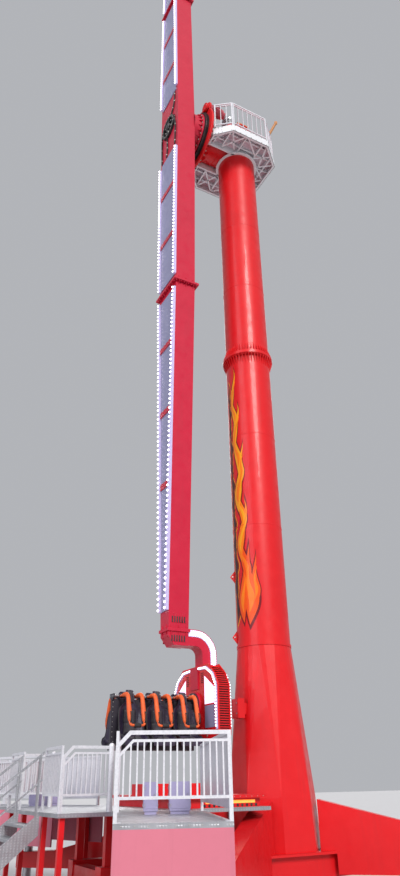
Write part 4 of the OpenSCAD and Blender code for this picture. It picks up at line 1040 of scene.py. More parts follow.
def rail_lamps(name, side, pitch, radius):
    """Bulbs along the light rails of one edge of the arm's face, side being -1 on the near edge."""
    stock = Stock()
    collar, dome = lamp_bulb(radius)
    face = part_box("light_rails_near")[0].x
    for half in HALVES:
        at = to_half(half)
        edge = side if half == "lower" else -side
        for r0, r1 in ((1.5, ARM_JOINT_R - 0.23), (ARM_JOINT_R + 0.23, ARM_END_R - 0.71)):
            n = round((r1 - r0 - 0.08) / pitch)
            for i in range(n + 1):
                r = r0 + 0.04 + (r1 - r0 - 0.08) * i / n
                y = edge * (arm_half_width(r) - 0.051)
                place = at @ on_face(y, -r, face)
                stock.add(collar, place, 1)
                stock.add(dome, place)
                beside = at @ facing((face + 0.031, edge * (arm_half_width(r) - 0.012), -r), (0, edge, 0))
                if i % 2 == 0:
                    stock.add(turned([(0.006, 0), (0.005, 0.003), (0, 0.004)], 8), beside, 2)
    return stock.piece(name, "arm", "lamp channel bolt", "light_strip", 50)


def face_rivets(pitch):
    """Rivets down both edges of the face panels."""
    stock = Stock()
    rivet = turned([(0.011, 0), (0.010, 0.003), (0.006, 0.0055), (0, 0.0062)], 10)
    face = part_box("face_panels")[0].x
    for half in HALVES:
        at = to_half(half)
        for r0, r1 in ((1.40, ARM_JOINT_R - 0.26), (ARM_JOINT_R + 0.26, ARM_END_R - 0.75)):
            n = round((r1 - r0) / pitch)
            for i in range(n + 1):
                r = r0 + (r1 - r0) * i / n
                for s in (-1, 1):
                    stock.add(rivet, at @ on_face(s * (arm_half_width(r) - 0.138), -r, face))
    return stock.piece("face_rivets", "arm", "bolt", "steel")


# Distances of the cross battens from the turning axis
BATTENS_AT = (2.9, 4.9, 8.7, 10.7, 12.7)


def batten_bolts():
    """Screws through the cross battens of the face panels."""
    stock = Stock()
    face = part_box("face_battens")[0].x
    for half in HALVES:
        at = to_half(half)
        for r in BATTENS_AT:
            w = arm_half_width(r) - 0.098
            for y in along_edge((0, -w, 0), (0, w, 0), 0.16, 0.045):
                for dr in (-0.045, 0.045):
                    stock.add(hex_bolt(0.007), at @ on_face(y.y, -r + dr, face))
    return stock.piece("batten_bolts", "arm", "bolt", "steel")


# Pipes from the hub over the arm's face, as places across and above the turning axis
PIPE_ROUTES = (((0.02, 0.16), (-0.16, 0.42), (-0.34, 0.66), (-0.40, 0.95), (-0.42, 1.26)),
               ((-0.10, 0.10), (-0.30, 0.06), (-0.46, -0.16), (-0.47, -0.55), (-0.43, -1.26)),
               ((0.10, 0.12), (0.34, 0.36), (0.50, 0.20), (0.52, -0.35), (0.49, -1.26)),
               ((0.00, -0.16), (0.12, -0.50), (0.10, -0.95), (0.16, -1.26)))


def hub_dressing(bolt_r):
    """Bolts and cap of the hub's recess, and the pipes that leave it."""
    stock = Stock()
    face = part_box("hub_cover")[0].x
    for k in range(16):
        a = math.radians(11.25 + 22.5 * k)
        stock.add(hex_bolt(bolt_r * 0.7), on_face(0.365 * math.sin(a), HUB_Z + 0.365 * math.cos(a), face))
    for k in range(6):
        a = math.radians(60 * k)
        stock.add(stud_nut(0.02), on_face(0.22 * math.sin(a), HUB_Z + 0.22 * math.cos(a), ARM_FRONT - 0.01))
    cap = turned([(0.135, 0), (0.135, 0.012), (0.12, 0.030), (0.08, 0.045), (0.03, 0.051), (0, 0.052)], 36)
    stock.add(cap, on_face(0, HUB_Z, ARM_FRONT - 0.06), 1)
    for k in range(6):
        a = math.radians(30 + 60 * k)
        stock.add(turned([(0.0, 0.0), (0.006, 0.0), (0.006, 0.018), (0.011, 0.020), (0.011, 0.026),
                          (0, 0.028)], 10),
                  on_face(0.385 * math.sin(a) * 0.35, HUB_Z + 0.385 * math.cos(a) * 0.35,
                          ARM_FRONT - 0.058))
    # clipped pipes over the arm's face
    for route in PIPE_ROUTES:
        x = ARM_FRONT - 0.024
        places = [(x - (0.045 if k == 0 else 0.0), y, HUB_Z + z) for k, (y, z) in enumerate(route)]
        path = sampled(places, 36)
        for _ in range(12):
            inner = [(a + b * 2 + c) / 4 for a, b, c in zip(path, path[1:], path[2:])]
            path = [path[0]] + inner + [path[-1]]
        stock.add(swept(path, 0.022, 12), finish=2)
        for i in (16, 24, 33):
            ahead = (path[i + 1] - path[i - 1]).normalized()
            clip = facing(path[i], ahead)
            band = turned([(0.0225, -0.015), (0.028, -0.012), (0.028, 0.012), (0.0225, 0.015)], 16)
            stock.add(band, clip)
    return stock.piece("hub_dressing", "arm", "bolt ring grip", "dark_steel")


def neck_path(offset):
    """Points in X and distance from the axis along the neck, offset out from the bend's centre."""
    bend_x, bend_r = -1.84, 16.51
    points = [Vector((x, 0, -(bend_r - offset))) for x in (-2.02, -1.93)]
    for k in range(13):
        a = math.radians(90 - 7.5 * k)
        points.append(Vector((bend_x + offset * math.cos(a), 0, -(bend_r - offset * math.sin(a)))))
    end = PIVOT_R - 0.27
    for k in range(1, 7):
        points.append(Vector((bend_x + offset, 0, -(bend_r + (end - bend_r) * k / 6))))
    return points


def neck_lamps(half, radius):
    """Band with bulbs round the outer part of the neck, on both of its sides; the band's glow is painted
    light from the bulbs.
    """
    stock = Stock()
    collar, dome = lamp_bulb(radius)
    at = to_half(half)
    for s in (-1, 1):
        inner, outer = neck_path(0.345), neck_path(0.485)
        points, faces = [], []
        for p, q in zip(inner, outer):
            for depth in (0.1698, 0.178):
                points += [(p.x, s * depth, p.z), (q.x, s * depth, q.z)]
        for i in range(len(inner) - 1):
            a, b = 4 * i, 4 * (i + 1)
            ring = ((a + 2, a + 3, b + 3, b + 2), (a + 1, a, b, b + 1), (a, a + 2, b + 2, b),
                    (a + 3, a + 1, b + 1, b + 3))
            faces += [f if s < 0 else tuple(reversed(f)) for f in ring]
        last = 4 * (len(inner) - 1)
        ends = [(0, 1, 3, 2), (last, last + 2, last + 3, last + 1)]
        faces += [f if s < 0 else tuple(reversed(f)) for f in ends]
        stock.add((points, faces), at, 1)
        for row, line in ((0.375, 0.0), (0.415, 0.5), (0.455, 0.0)):
            path = neck_path(row)
            travelled, step = 0.0, radius * 3.4
            wanted = step * (0.5 + line)
            for p, q in zip(path, path[1:]):
                length = (q - p).length
                while wanted <= travelled + length:
                    spot = p + (q - p) * ((wanted - travelled) / length)
                    place = at @ facing((spot.x, s * 0.178, spot.z), (0, s, 0))
                    stock.add(collar, place, 1)
                    stock.add(dome, place)
                    wanted += step
                travelled += length
    return stock.piece("neck_lamps_" + half, "arm", "lamp channel", "light_strip", 50)


# Half width and height of the shield's outline above the gondola's pivot, from its outer end toward the arm
SHIELD_UP, SHIELD_DOWN, SHIELD_HALF = 0.75, 0.67, 0.95
SHIELD_EDGE = [(0.94, 0.0), (1.0, 0.05), (1.0, 0.69), (0.86, 0.853), (0.59, 1.0)]
SHIELD_BOLTS = ((0.88, -0.58), (0.88, 0.41), (0.72, 0.60), (0.46, 0.70), (0.10, 0.71), (0.50, -0.60),
                (0.18, -0.60))
LIT_EDGE = [(0.895, -0.50), (0.895, 0.31), (0.765, 0.53), (0.50, 0.675), (0.20, 0.69)]


def shield_half(v, inset):
    """Half width of the shield at v above the pivot, for an outline drawn in by inset."""
    edge = [(w * (SHIELD_HALF - inset),
             inset - SHIELD_DOWN + h * (SHIELD_UP + SHIELD_DOWN - 2 * inset)) for w, h in SHIELD_EDGE]
    return float(np.interp(v, [h for w, h in edge], [w for w, h in edge]))


def slat_shadows(stock, at, finish):
    """Dark strips in the gaps between the ribs on the shield's two edges."""
    pitch, first = 0.044, 0.060 - SHIELD_DOWN
    depth = (SHIELD_FRONT + 0.034, SHIELD_BACK - 0.028)
    for i in range(round((SHIELD_UP + SHIELD_DOWN - 0.12) / pitch)):
        low = first + i * pitch + pitch * 0.42 + 0.0005
        high = first + (i + 1) * pitch - 0.0005
        if high > SHIELD_UP - 0.05:
            continue
        for s in (-1, 1):
            points = []
            for x in depth:
                for v in (low, high):
                    for inset in (0.0262, 0.0240):
                        points.append((x, s * shield_half(v, inset), v))
            faces = [(0, 1, 3, 2), (4, 6, 7, 5), (0, 4, 5, 1), (2, 3, 7, 6), (0, 2, 6, 4), (1, 5, 7, 3)]
            stock.add((points, [tuple(reversed(f)) for f in faces] if s > 0 else faces), at, finish)


def shield_dressing(half):
    """Light strips, vents of painted shade, lit and pale panels, painted shadows between the slats, and bolts
    on the shield, drawn from the pivot.
    """
    stock = Stock()
    at = to_half(half) @ shift(0, 0, -PIVOT_R)
    slat_shadows(stock, at, 4)

    def put(outline, thickness, finish, ease=0.003):
        """Plate on the shield's face, its outline mirrored to the side in hand."""
        sided = [(ahead * s * y, z) for y, z in outline]
        stock.add(sheet_form(sided, thickness, ease), at @ on_face(0, 0, face, ahead), finish)

    for face, ahead in ((SHIELD_FRONT, -1), (SHIELD_BACK, 1)):
        for s in (-1, 1):
            # lit strip down the edge and over the shoulder, with its bulbs; the strip's glow is painted light
            # from the bulbs
            for (y0, z0), (y1, z1) in zip(LIT_EDGE, LIT_EDGE[1:]):
                run = Vector((y1 - y0, z1 - z0))
                side = Vector((-run.y, run.x)).normalized() * 0.030
                put([(y0 + side.x, z0 + side.y), (y0 - side.x, z0 - side.y),
                     (y1 - side.x, z1 - side.y), (y1 + side.x, z1 + side.y)], 0.014, 1)
            collar, dome = lamp_bulb(0.017)
            line = [Vector((0, y, z)) for y, z in LIT_EDGE]
            for p in sampled(line, 29)[1:]:
                spot = at @ on_face(s * p.y, p.z, face + ahead * 0.014, ahead)
                stock.add(collar, spot, 1)
                stock.add(dome, spot)
            # lit panel beside the neck that narrows upward, over a pale one
            put([(0.42, -0.02), (0.815, -0.02), (0.815, 0.27), (0.42, 0.52)], 0.010, 5)
            put([(0.42, -0.46), (0.815, -0.46), (0.815, -0.05), (0.42, -0.05)], 0.008, 2)
            # vents near the top, as thin plates of painted shade where their openings are
            for k in range(6):
                low, high = 0.40 + 0.036 * k, 0.415 + 0.036 * k
                put([(0.27, low), (0.38, low), (0.38, high), (0.27, high)], 0.006, 4, 0.002)
            # cover of the neck down to the pivot
            if s > 0 and ahead < 0:
                stock.add(eased_block((0.050, 0.335, 0.44), 0.006, 2), at @ shift(SHIELD_FRONT, 0, 0.51), 6)
            for y, z in SHIELD_BOLTS:
                stock.add(hex_bolt(0.011), at @ on_face(s * y, z, face, ahead), 3)
    return stock.piece("shield_dressing_" + half, "arm",
                       "lamp channel lilac bolt shade lit arm_red", "shield_shell")


# gondola
def gondola_trim(half):
    """Bolts round the pivot flange, rivets and straps along the spine, and nuts on the plate at its end."""
    stock = Stock()
    body = half + "_gondola"
    at = to_pivot(half)
    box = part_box("gondola_" + half)
    row_end = box[0].x
    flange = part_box("seats_lower_near")[1].x + 0.0475
    for k in range(8):
        a = math.radians(22.5 + 45 * k)
        place = on_face(0.195 * math.sin(a), 0.195 * math.cos(a), flange)
        stock.add(hex_bolt(0.014), at @ place)
    rivet = turned([(0.009, 0), (0.008, 0.002), (0, 0.004)], 8)
    for s in (-1, 1):
        for x in np.linspace(row_end + 0.06, flange - 0.10, 22):
            stock.add(rivet, at @ facing((x, s * 0.023, -0.70), (0, s, 0)))
        for z in np.linspace(-0.62, 0.0, 8):
            stock.add(rivet, at @ facing((row_end + 0.03, s * 0.023, z), (0, s, 0)))
        for i in range(4):
            x = flange - 0.0225 - i * SEAT_PITCH
            strap = plate(0.045, 0.30, 0.006, 0.002)
            if row_end + 0.06 < x < flange - 0.06:
                stock.add(strap, at @ facing((x, s * 0.023, -0.36), (0, s, 0)), 1)
                for z in (-0.60, -0.48, -0.24, -0.12):
                    stock.add(hex_bolt(0.007), at @ facing((x, s * 0.029, z), (0, s, 0)))
    end_plate = at @ on_face(0, -0.79, row_end)
    for dy in (-0.075, 0.075):
        for dz in (-0.035, 0.035):
            stock.add(stud_nut(0.0035), end_plate @ shift(dy, dz, -0.0085))
    return stock.piece("gondola_trim_" + half, body, "bolt dark", "dark_steel")


# Side view of the seat: depth, height above the pivot, half width and how far the sides stand forward
SEAT_LINE = [
    (-0.150, 0.218, 0.066, 0.000), (-0.184, 0.165, 0.086, 0.010), (-0.188, 0.060, 0.090, 0.016),
    (-0.189, -0.030, 0.112, 0.018), (-0.192, -0.120, 0.215, 0.040), (-0.198, -0.250, 0.248, 0.075),
    (-0.206, -0.400, 0.253, 0.098), (-0.226, -0.540, 0.255, 0.112), (-0.268, -0.640, 0.256, 0.120),
    (-0.340, -0.694, 0.255, 0.116), (-0.430, -0.700, 0.253, 0.100), (-0.520, -0.688, 0.249, 0.070),
    (-0.571, -0.694, 0.240, 0.030), (-0.588, -0.732, 0.228, 0.008), (-0.578, -0.790, 0.212, 0.000),
]


def eased_row(rows, t):
    """Smooth value between evenly spaced rows of numbers, t running from 0 to 1."""
    n = len(rows) - 1
    k = min(int(t * n), n - 1)
    f = t * n - k
    p = [np.array(rows[min(max(k + d, 0), n)], float) for d in (-1, 0, 1, 2)]
    return 0.5 * (2 * p[1] + (p[2] - p[0]) * f + (2 * p[0] - 5 * p[1] + 4 * p[2] - p[3]) * f * f
                  + (3 * p[1] - p[0] - 3 * p[2] + p[3]) * f * f * f)


def seat_point(t, c, lift=0.0):
    """Point of the seat's surface at t down its side view and c across it, raised by lift."""
    y, z, half, wing = eased_row(SEAT_LINE, t)
    ahead = (eased_row(SEAT_LINE, min(t + 0.01, 1)) - eased_row(SEAT_LINE, max(t - 0.01, 0)))[:2]
    ahead /= np.linalg.norm(ahead)
    out = np.array((ahead[1], -ahead[0]))
    rise = max(0.0, (abs(c) - 0.56) / 0.44)
    rise = rise * rise * (3 - 2 * rise)
    y, z = np.array((y, z)) + out * (wing * rise + lift)
    return float(c * half), float(y), float(z)


def seat_shell_form(thickness=0.030, rows=64, columns=24):
    """Moulded bucket, thinner toward its side edges, closed all round."""
    points = []
    for layer in (0, 1):
        for i in range(rows + 1):
            for k in range(columns + 1):
                c = -1 + 2 * k / columns
                if layer == 0:
                    points.append(seat_point(i / rows, c, 0.0))
                else:
                    points.append(seat_point(i / rows, c * 0.985, -thickness * (1 - 0.35 * abs(c) ** 6)))
    return closed_shape(points, layered_faces(rows, columns))


def rim_roll(t0, t1, side, radius=0.012):
    """Rubber beading along one rim of the seat."""
    path = [seat_point(t0 + (t1 - t0) * i / 30, side * 0.99, 0.002) for i in range(31)]
    return swept(path, [radius * (0.5 + 0.5 * min(1.0, i / 3, (30 - i) / 3)) for i in range(31)], 8)


def cushion_form(t0, t1, reach, height, pinch=0.16, rows=26, columns=20):
    """Closed cushion lying on the seat between t0 and t1, crowned, its sides drawn in between the corners."""
    points = []
    for layer in (0, 1):
        for i in range(rows + 1):
            v = -1 + 2 * i / rows
            for k in range(columns + 1):
                u = -1 + 2 * k / columns
                waist = 1 - pinch * 0.35 * (1 - v * v)
                drawn = 1 - pinch * 0.12 * (1 - u * u)
                t = (t0 + t1) / 2 + (t1 - t0) / 2 * v * drawn
                crown = (max(0.0, 1 - abs(u) ** 5) ** 0.45) * (max(0.0, 1 - abs(v) ** 7) ** 0.45)
                lift = 0.004 + (height * (0.12 + 0.88 * crown) if layer == 0 else 0.0)
                points.append(seat_point(t, u * reach * waist, lift))
    return closed_shape(points, layered_faces(rows, columns))


def puffed(shape, voxel, pressure, cap, keep=0.35):
    """The closed form blown up as cloth, no point moving further than cap. Returns points and faces."""
    mesh = bpy.data.meshes.new("pad_form")
    mesh.from_pydata([tuple(p) for p in shape[0]], [], shape[1])
    mesh.update()
    form = bpy.data.objects.new("pad_form", mesh)
    bpy.context.scene.collection.objects.link(form)
    even = form.modifiers.new("even", "REMESH")
    even.mode = "VOXEL"
    even.voxel_size = voxel
    settle(form)
    before = np.empty(len(form.data.vertices) * 3)
    form.data.vertices.foreach_get("co", before)
    cloth = form.modifiers.new("cloth", "CLOTH")
    cloth.settings.use_pressure = True
    cloth.settings.uniform_pressure_force = pressure
    cloth.settings.quality = 5
    cloth.settings.tension_stiffness = 25
    cloth.settings.compression_stiffness = 25
    cloth.settings.bending_stiffness = 1.2
    cloth.settings.effector_weights.gravity = 0
    cloth.collision_settings.use_collision = False
    for step in range(1, 21):
        bpy.context.scene.frame_set(step)
    settle(form)
    bpy.context.scene.frame_set(1)
    after = np.empty_like(before)
    form.data.vertices.foreach_get("co", after)
    moved = (after - before).reshape(-1, 3)
    far = np.linalg.norm(moved, axis=1, keepdims=True)
    moved *= np.minimum(1.0, cap / np.maximum(far, 1e-9))
    form.data.vertices.foreach_set("co", (before.reshape(-1, 3) + moved).ravel())
    form.data.update()
    finer = form.modifiers.new("finer", "SUBSURF")
    finer.levels = 1
    fewer = form.modifiers.new("fewer", "DECIMATE")
    fewer.ratio = keep
    settle(form)
    points = np.empty(len(form.data.vertices) * 3)
    form.data.vertices.foreach_get("co", points)
    faces = [tuple(f.vertices) for f in form.data.polygons]
    bpy.data.objects.remove(form)
    bpy.data.meshes.remove(mesh)
    return points.reshape(-1, 3), faces


def settle(obj):
    """Applies the modifiers of an object to its mesh."""
    seen = obj.evaluated_get(bpy.context.evaluated_depsgraph_get())
    mesh = bpy.data.meshes.new_from_object(seen)
    obj.modifiers.clear()
    obj.data = mesh


def grooved(shape, lines, depth, width):
    """Presses sewn channels into a pad. lines gives the distance from the nearest seam for each point."""
    points, faces = shape
    middle = points.mean(axis=0)
    away = lines(points)
    pull = depth * np.exp(-(away / width) ** 2)
    toward = middle - points
    toward /= np.maximum(np.linalg.norm(toward, axis=1, keepdims=True), 1e-6)
    return points + toward * pull[:, None], faces


def make_seats():
    """Shell and cushions of one seat, facing away from the spine on the near side."""
    back = puffed(cushion_form(0.285, 0.545, 0.60, 0.034), 0.011, 4.0, 0.012)
    back = grooved(back, lambda p: np.abs((p[:, 2] + 0.60) % 0.085 - 0.0425), 0.006, 0.006)
    base = puffed(cushion_form(0.60, 0.835, 0.62, 0.040), 0.011, 4.0, 0.012)
    base = grooved(base, lambda p: np.abs(np.abs(p[:, 0]) - 0.085), 0.006, 0.006)
    head = puffed(cushion_form(0.035, 0.215, 0.80, 0.030), 0.008, 4.0, 0.008)
    return seat_shell_form(), [back, base, head]


# Turn that stands the ribs under a seat's pan on edge, along Y
RIB_TURN = Matrix(((0, 0, 1, 0), (1, 0, 0, 0), (0, 1, 0, 0), (0, 0, 0, 1)))
# Belt over the cushion's front: place down the seat's side view, and height over its surface
BELT_LINE = ((0.955, 0.006), (0.925, 0.010), (0.89, 0.018), (0.855, 0.036), (0.82, 0.051), (0.785, 0.055),
             (0.755, 0.056))


def seats(half, side, sign, shell, cushions):
    """Row of three seats: shells with rims, bolts and belts, and the cushions as their own piece."""
    body = half + "_gondola"
    rigid, soft = Stock(), Stock()
    for x in SEAT_X:
        at = to_pivot(half) @ shift(x, 0, 0) @ mirrored(sign)
        rigid.add(shell, at)
        for c in (-1, 1):
            rigid.add(rim_roll(0.27, 0.93, c), at, 1)
        # bolts of the shell to the spine, belt anchor and moulded ribs under the pan
        for dx in (-0.15, 0.15):
            for z in (-0.62, -0.30):
                rigid.add(turned([(0.032, 0), (0.032, 0.012), (0.020, 0.02), (0.020, 0.10), (0, 0.10)], 12),
                          at @ facing((dx, -0.10, z), (0, -1, 0)), 1)
        for dx in (-0.16, -0.055, 0.055, 0.16):
            rib = sheet_form([(-0.24, 0.0), (0.20, 0.0), (0.22, 0.05), (-0.22, 0.05)], 0.010, 0.002)
            under = at @ shift(dx - 0.005, -0.345, -0.778) @ RIB_TURN
            rigid.add(rib, under, 1)
        # crotch belt lying over the cushion's front, with its buckle tongue
        belt = [Vector(seat_point(t, 0.0, lift)) for t, lift in BELT_LINE]
        rigid.add(strap_form(belt, 0.045, 0.0035), at, 2)
        tip = [belt[-1] + Vector((0, 0.012, 0.002)), belt[-1] + Vector((0, 0.06, 0.004))]
        rigid.add(strap_form(tip, 0.036, 0.004), at, 3)
        for c in cushions:
            soft.add(c, at)
    piece = rigid.piece("seat_shells_" + half + "_" + side, body,
                        "shell grip webbing bolt", "seat_shell", 50,
                        replaces=("seats_" + half + "_" + side,))
    pads = soft.piece("seat_cushions_" + half + "_" + side, body, "vinyl", "seat_shell", 80)
    return piece, pads


def strap_form(path, width, thickness):
    """Flat webbing along a path that lies in a plane across X."""
    points, faces = [], []
    path = [Vector(p) for p in path]
    for i, p in enumerate(path):
        ahead = (path[min(i + 1, len(path) - 1)] - path[max(i - 1, 0)]).normalized()
        out = Vector((1, 0, 0)).cross(ahead).normalized()
        for dx, up in ((-1, 0), (1, 0), (1, 1), (-1, 1)):
            points.append(p + Vector((dx * width / 2, 0, 0)) + out * thickness * up)
    for i in range(len(path) - 1):
        for k in range(4):
            j = (k + 1) % 4
            faces.append((4 * i + k, 4 * (i + 1) + k, 4 * (i + 1) + j, 4 * i + j))
    faces.append((0, 1, 2, 3))
    last = 4 * (len(path) - 1)
    faces.append((last + 3, last + 2, last + 1, last))
    return closed_shape(points, faces)


# Harness of one seat about the pivot, on the near side
HINGE = Vector((0, -0.055, 0.11))
HARNESS_REACH, HARNESS_BEND, HARNESS_LEAN = 0.43, 0.13, math.radians(16)
CHEST_LENGTH, TUBE_GAP = 0.45, 0.145
# Hand grip beside each tube, from the tube's lower end
GRIP_LINE = ((0, -0.012, 0.20), (0, -0.052, 0.185), (0, -0.062, 0.14), (0, -0.054, 0.07),
             (0, -0.048, 0.03), (0, -0.012, 0.015))


def shoulder_path(x, steps=9):
    """Points along one tube from the hinge over the shoulder and down the chest."""
    centre = HINGE + Vector((0, -(HARNESS_REACH - HARNESS_BEND), -HARNESS_BEND))
    path = [HINGE + Vector((0, -0.02, 0)), HINGE + Vector((0, -0.10, 0)), HINGE + Vector((0, -0.20, 0))]
    for k in range(steps + 1):
        a = (math.pi / 2 - HARNESS_LEAN) * k / steps
        path.append(centre + HARNESS_BEND * Vector((0, -math.sin(a), math.cos(a))))
    down = Vector((0, -math.sin(HARNESS_LEAN), -math.cos(HARNESS_LEAN)))
    for k in range(1, 7):
        path.append(path[steps + 3] + down * (CHEST_LENGTH * k / 6))
    return [p + Vector((x, 0, 0)) for p in path]


def sampled(path, count):
    """Points evenly spaced along a path."""
    path = [Vector(p) for p in path]
    far = [0.0]
    for a, b in zip(path, path[1:]):
        far.append(far[-1] + (b - a).length)
    out = []
    for i in range(count + 1):
        want = far[-1] * i / count
        k = next((j for j in range(len(path) - 1) if far[j + 1] >= want - 1e-9), len(path) - 2)
        f = (want - far[k]) / max(far[k + 1] - far[k], 1e-9)
        out.append(path[k].lerp(path[k + 1], f))
    return out


def make_harness():
    """Foam pads with sewn seams round the two tubes of one seat's harness."""
    pads = []
    for s in (-1, 1):
        path = sampled(shoulder_path(s * TUBE_GAP), 60)
        over = path[9:59]
        n = len(over)
        radii = []
        for i in range(n):
            t = i / (n - 1)
            shoulder, chest = math.exp(-((t - 0.22) / 0.14) ** 2), math.exp(-((t - 0.72) / 0.20) ** 2)
            swell = 0.039 + 0.004 * shoulder + 0.007 * chest
            end = min(1.0, i / 2.5, (n - 1 - i) / 2.5)
            radii.append(swell * (0.62 + 0.38 * math.sqrt(max(end, 0.0))))
        pads.append(swept(over, radii, 16))
    puffy = [puffed(p, 0.0085, 3.0, 0.005, 0.30) for p in pads]
    seams = []
    for p, s in zip(puffy, (-1, 1)):
        rings = [np.array(q) for q in sampled(shoulder_path(s * TUBE_GAP), 60)[14:56:8]]

        def from_seam(q, rings=rings):
            """Distance of each point from the nearest seam."""
            away = [np.abs(q[:, 2] - c[2] if k > 2 else q[:, 1] - c[1]) for k, c in enumerate(rings)]
            return np.min(away, axis=0)

        seams.append(grooved(p, from_seam, 0.0025, 0.004))
    return seams


def harness_row(half, side, sign, pads):
    """Row of three harnesses: hinge tube, bars and grips, and the foam as its own piece."""
    body = half + "_harness_" + side
    rigid, soft = Stock(), Stock()
    x0, x1 = (end.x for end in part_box("harness_" + half + "_" + side))
    at_row = to_pivot(half) @ mirrored(sign)
    along_x = Matrix.Translation(HINGE) @ ALONG_X
    outline = [(0, x0), (0.021, x0), (0.0255, x0 + 0.004), (0.0255, x1 - 0.004), (0.021, x1), (0, x1)]
    bar = turned(outline, 20)
    rigid.add(bar, at_row @ along_x)
    for x in SEAT_X:
        at = at_row @ shift(x, 0, 0)
        for s in (-1, 1):
            path = shoulder_path(s * TUBE_GAP)
            rigid.add(swept(path, 0.023, 12), at, 1)
            clamp = turned([(0.026, -0.034), (0.038, -0.032), (0.040, -0.028), (0.040, 0.028),
                            (0.038, 0.032), (0.026, 0.034)], 20)
            rigid.add(clamp, at @ Matrix.Translation(HINGE + Vector((s * TUBE_GAP, 0, 0))) @ ALONG_X, 2)
            end = path[-1]
            grip = [end + Vector(p) for p in GRIP_LINE]
            grip = sampled(grip, 14)
            rigid.add(swept(grip, 0.012, 8), at, 3)
        low_l, low_r = shoulder_path(-TUBE_GAP)[-1], shoulder_path(TUBE_GAP)[-1]
        turns = ((0.008, -0.006, -0.022), (0.035, -0.010, -0.034), (0.08, -0.011, -0.036))
        loop = [low_l] + [low_l + Vector(t) for t in turns]
        loop += [low_r + Vector((-x, y, z)) for x, y, z in turns[::-1]] + [low_r]
        rigid.add(swept(sampled(loop, 22), 0.023, 12), at, 1)
        mid = (low_l + low_r) / 2 + Vector((0, -0.011, -0.036))
        sleeve = turned([(0.0235, -0.07), (0.036, -0.066), (0.040, -0.05), (0.040, 0.05), (0.036, 0.066),
                         (0.0235, 0.07)], 18)
        rigid.add(sleeve, at @ Matrix.Translation(mid) @ ALONG_X, 3)
        # latch that takes the belt
        latch = at @ Matrix.Translation(mid + Vector((0, 0.045, 0.006)))
        rigid.add(eased_block((0.055, 0.030, 0.060), 0.005), latch, 2)
        for p in pads:
            soft.add(p, at)
    piece = rigid.piece("harness_frames_" + half + "_" + side, body,
                        "steel bar dark grip", "harness_orange", 40,
                        replaces=("harness_" + half + "_" + side,))
    foam = soft.piece("harness_pads_" + half + "_" + side, body, "foam", "harness_orange", 80)
    return piece, foam


# station and base
def wing_line():
    """End of the near wing and its directions: toward the end, and across it away from the mast."""
    a = math.radians(22.5)
    ahead = Vector((-math.sin(a), -math.cos(a), 0))
    across = Vector((-math.cos(a), math.sin(a), 0))
    end = Vector((-2.665, 0, 0)) + ahead * 5.606
    return end, ahead, across


def station_fittings():
    """Light strips, vents and screws of the deck, doors of the cabinets and clamps of the railing's posts."""
    stock = Stock()
    end, ahead, across = wing_line()
    rivet = turned([(0.008, 0), (0.007, 0.002), (0, 0.0035)], 8)
    for side in (1, -1):
        flip = mirrored(side)
        # lit strip under the lip of the raised floor, and a row of vents beneath it, each a dark disc of
        # painted shade for its hole
        y = -1.51
        strip = plate(0.50, 0.024, 0.016, 0.004)
        stock.add(strip, flip @ facing((-1.90, y, DECK_Z + 0.085), (0, -1, 0)))
        vent_hole_shade = turned([(0.024, 0), (0.024, 0.004), (0.015, 0.005), (0.014, 0.002), (0, 0.002)], 12)
        for k in range(12):
            stock.add(vent_hole_shade, flip @ facing((-2.42 + 0.095 * k, y, DECK_Z + 0.031), (0, -1, 0)), 1)
        # rivets along the raised floor's edge
        for x in np.arange(-2.95, -1.2, 0.12):
            stock.add(rivet, flip @ facing((x, -1.6, DECK_Z + 0.165), (0, -1, 0)), 2)
        # doors, handles and hinges of the cabinets
        for back, over, w, d in ((2.350, 0.190, 0.200, 0.300), (2.350, -0.230, 0.300, 0.300)):
            middle = end - ahead * back + across * over
            for out in (ahead, across, -across, -ahead):
                face = middle + out * (d / 2 if out in (ahead, -ahead) else w / 2)
                span = (w if out in (ahead, -ahead) else d) / 2 - 0.018
                door = plate(span, 0.15, 0.005, 0.002)
                at = flip @ facing(face + Vector((0, 0, DECK_Z + 0.22)), out)
                stock.add(door, at, 3)
                stock.add(swept([(span - 0.03, -0.04, 0.004), (span - 0.03, -0.04, 0.018),
                    (span - 0.03, 0.04, 0.018), (span - 0.03, 0.04, 0.004)], 0.004, 8), at, 2)
                for z in (-0.11, 0.11):
                    stock.add(turned([(0.0, -0.02), (0.006, -0.02), (0.006, 0.02), (0, 0.02)], 8),
                              at @ shift(-span, z, 0.004) @ Matrix.Rotation(math.pi / 2, 4, "X"), 2)
        # clamps at the feet of the railing's end posts
        turn = Matrix((ahead, across, Vector((0, 0, 1)))).transposed().to_4x4()
        for p in (end - across * 0.640, end + across * 0.640):
            foot = flip @ Matrix.Translation(p - ahead * 0.055 + Vector((0, 0, DECK_Z + 0.004))) @ turn
            stock.add(eased_block((0.10, 0.09, 0.008), 0.002), foot, 4)
        # screws along the deck's lip
        a, b = end - across * 0.66, end + across * 0.62
        for p in along_edge(a, b, 0.16, 0.03):
            stock.add(rivet, flip @ facing(p + Vector((0, 0, DECK_Z - 0.03)), ahead), 2)
    return stock.piece("station_fittings", "structure", "amber ring bolt plinth rail", "rail_white")


# Height of a jack pad's plate, and from the middle of a pad to the outer edge of the row of pads
PAD_TOP, PAD_TO_EDGE = 0.05, 0.495


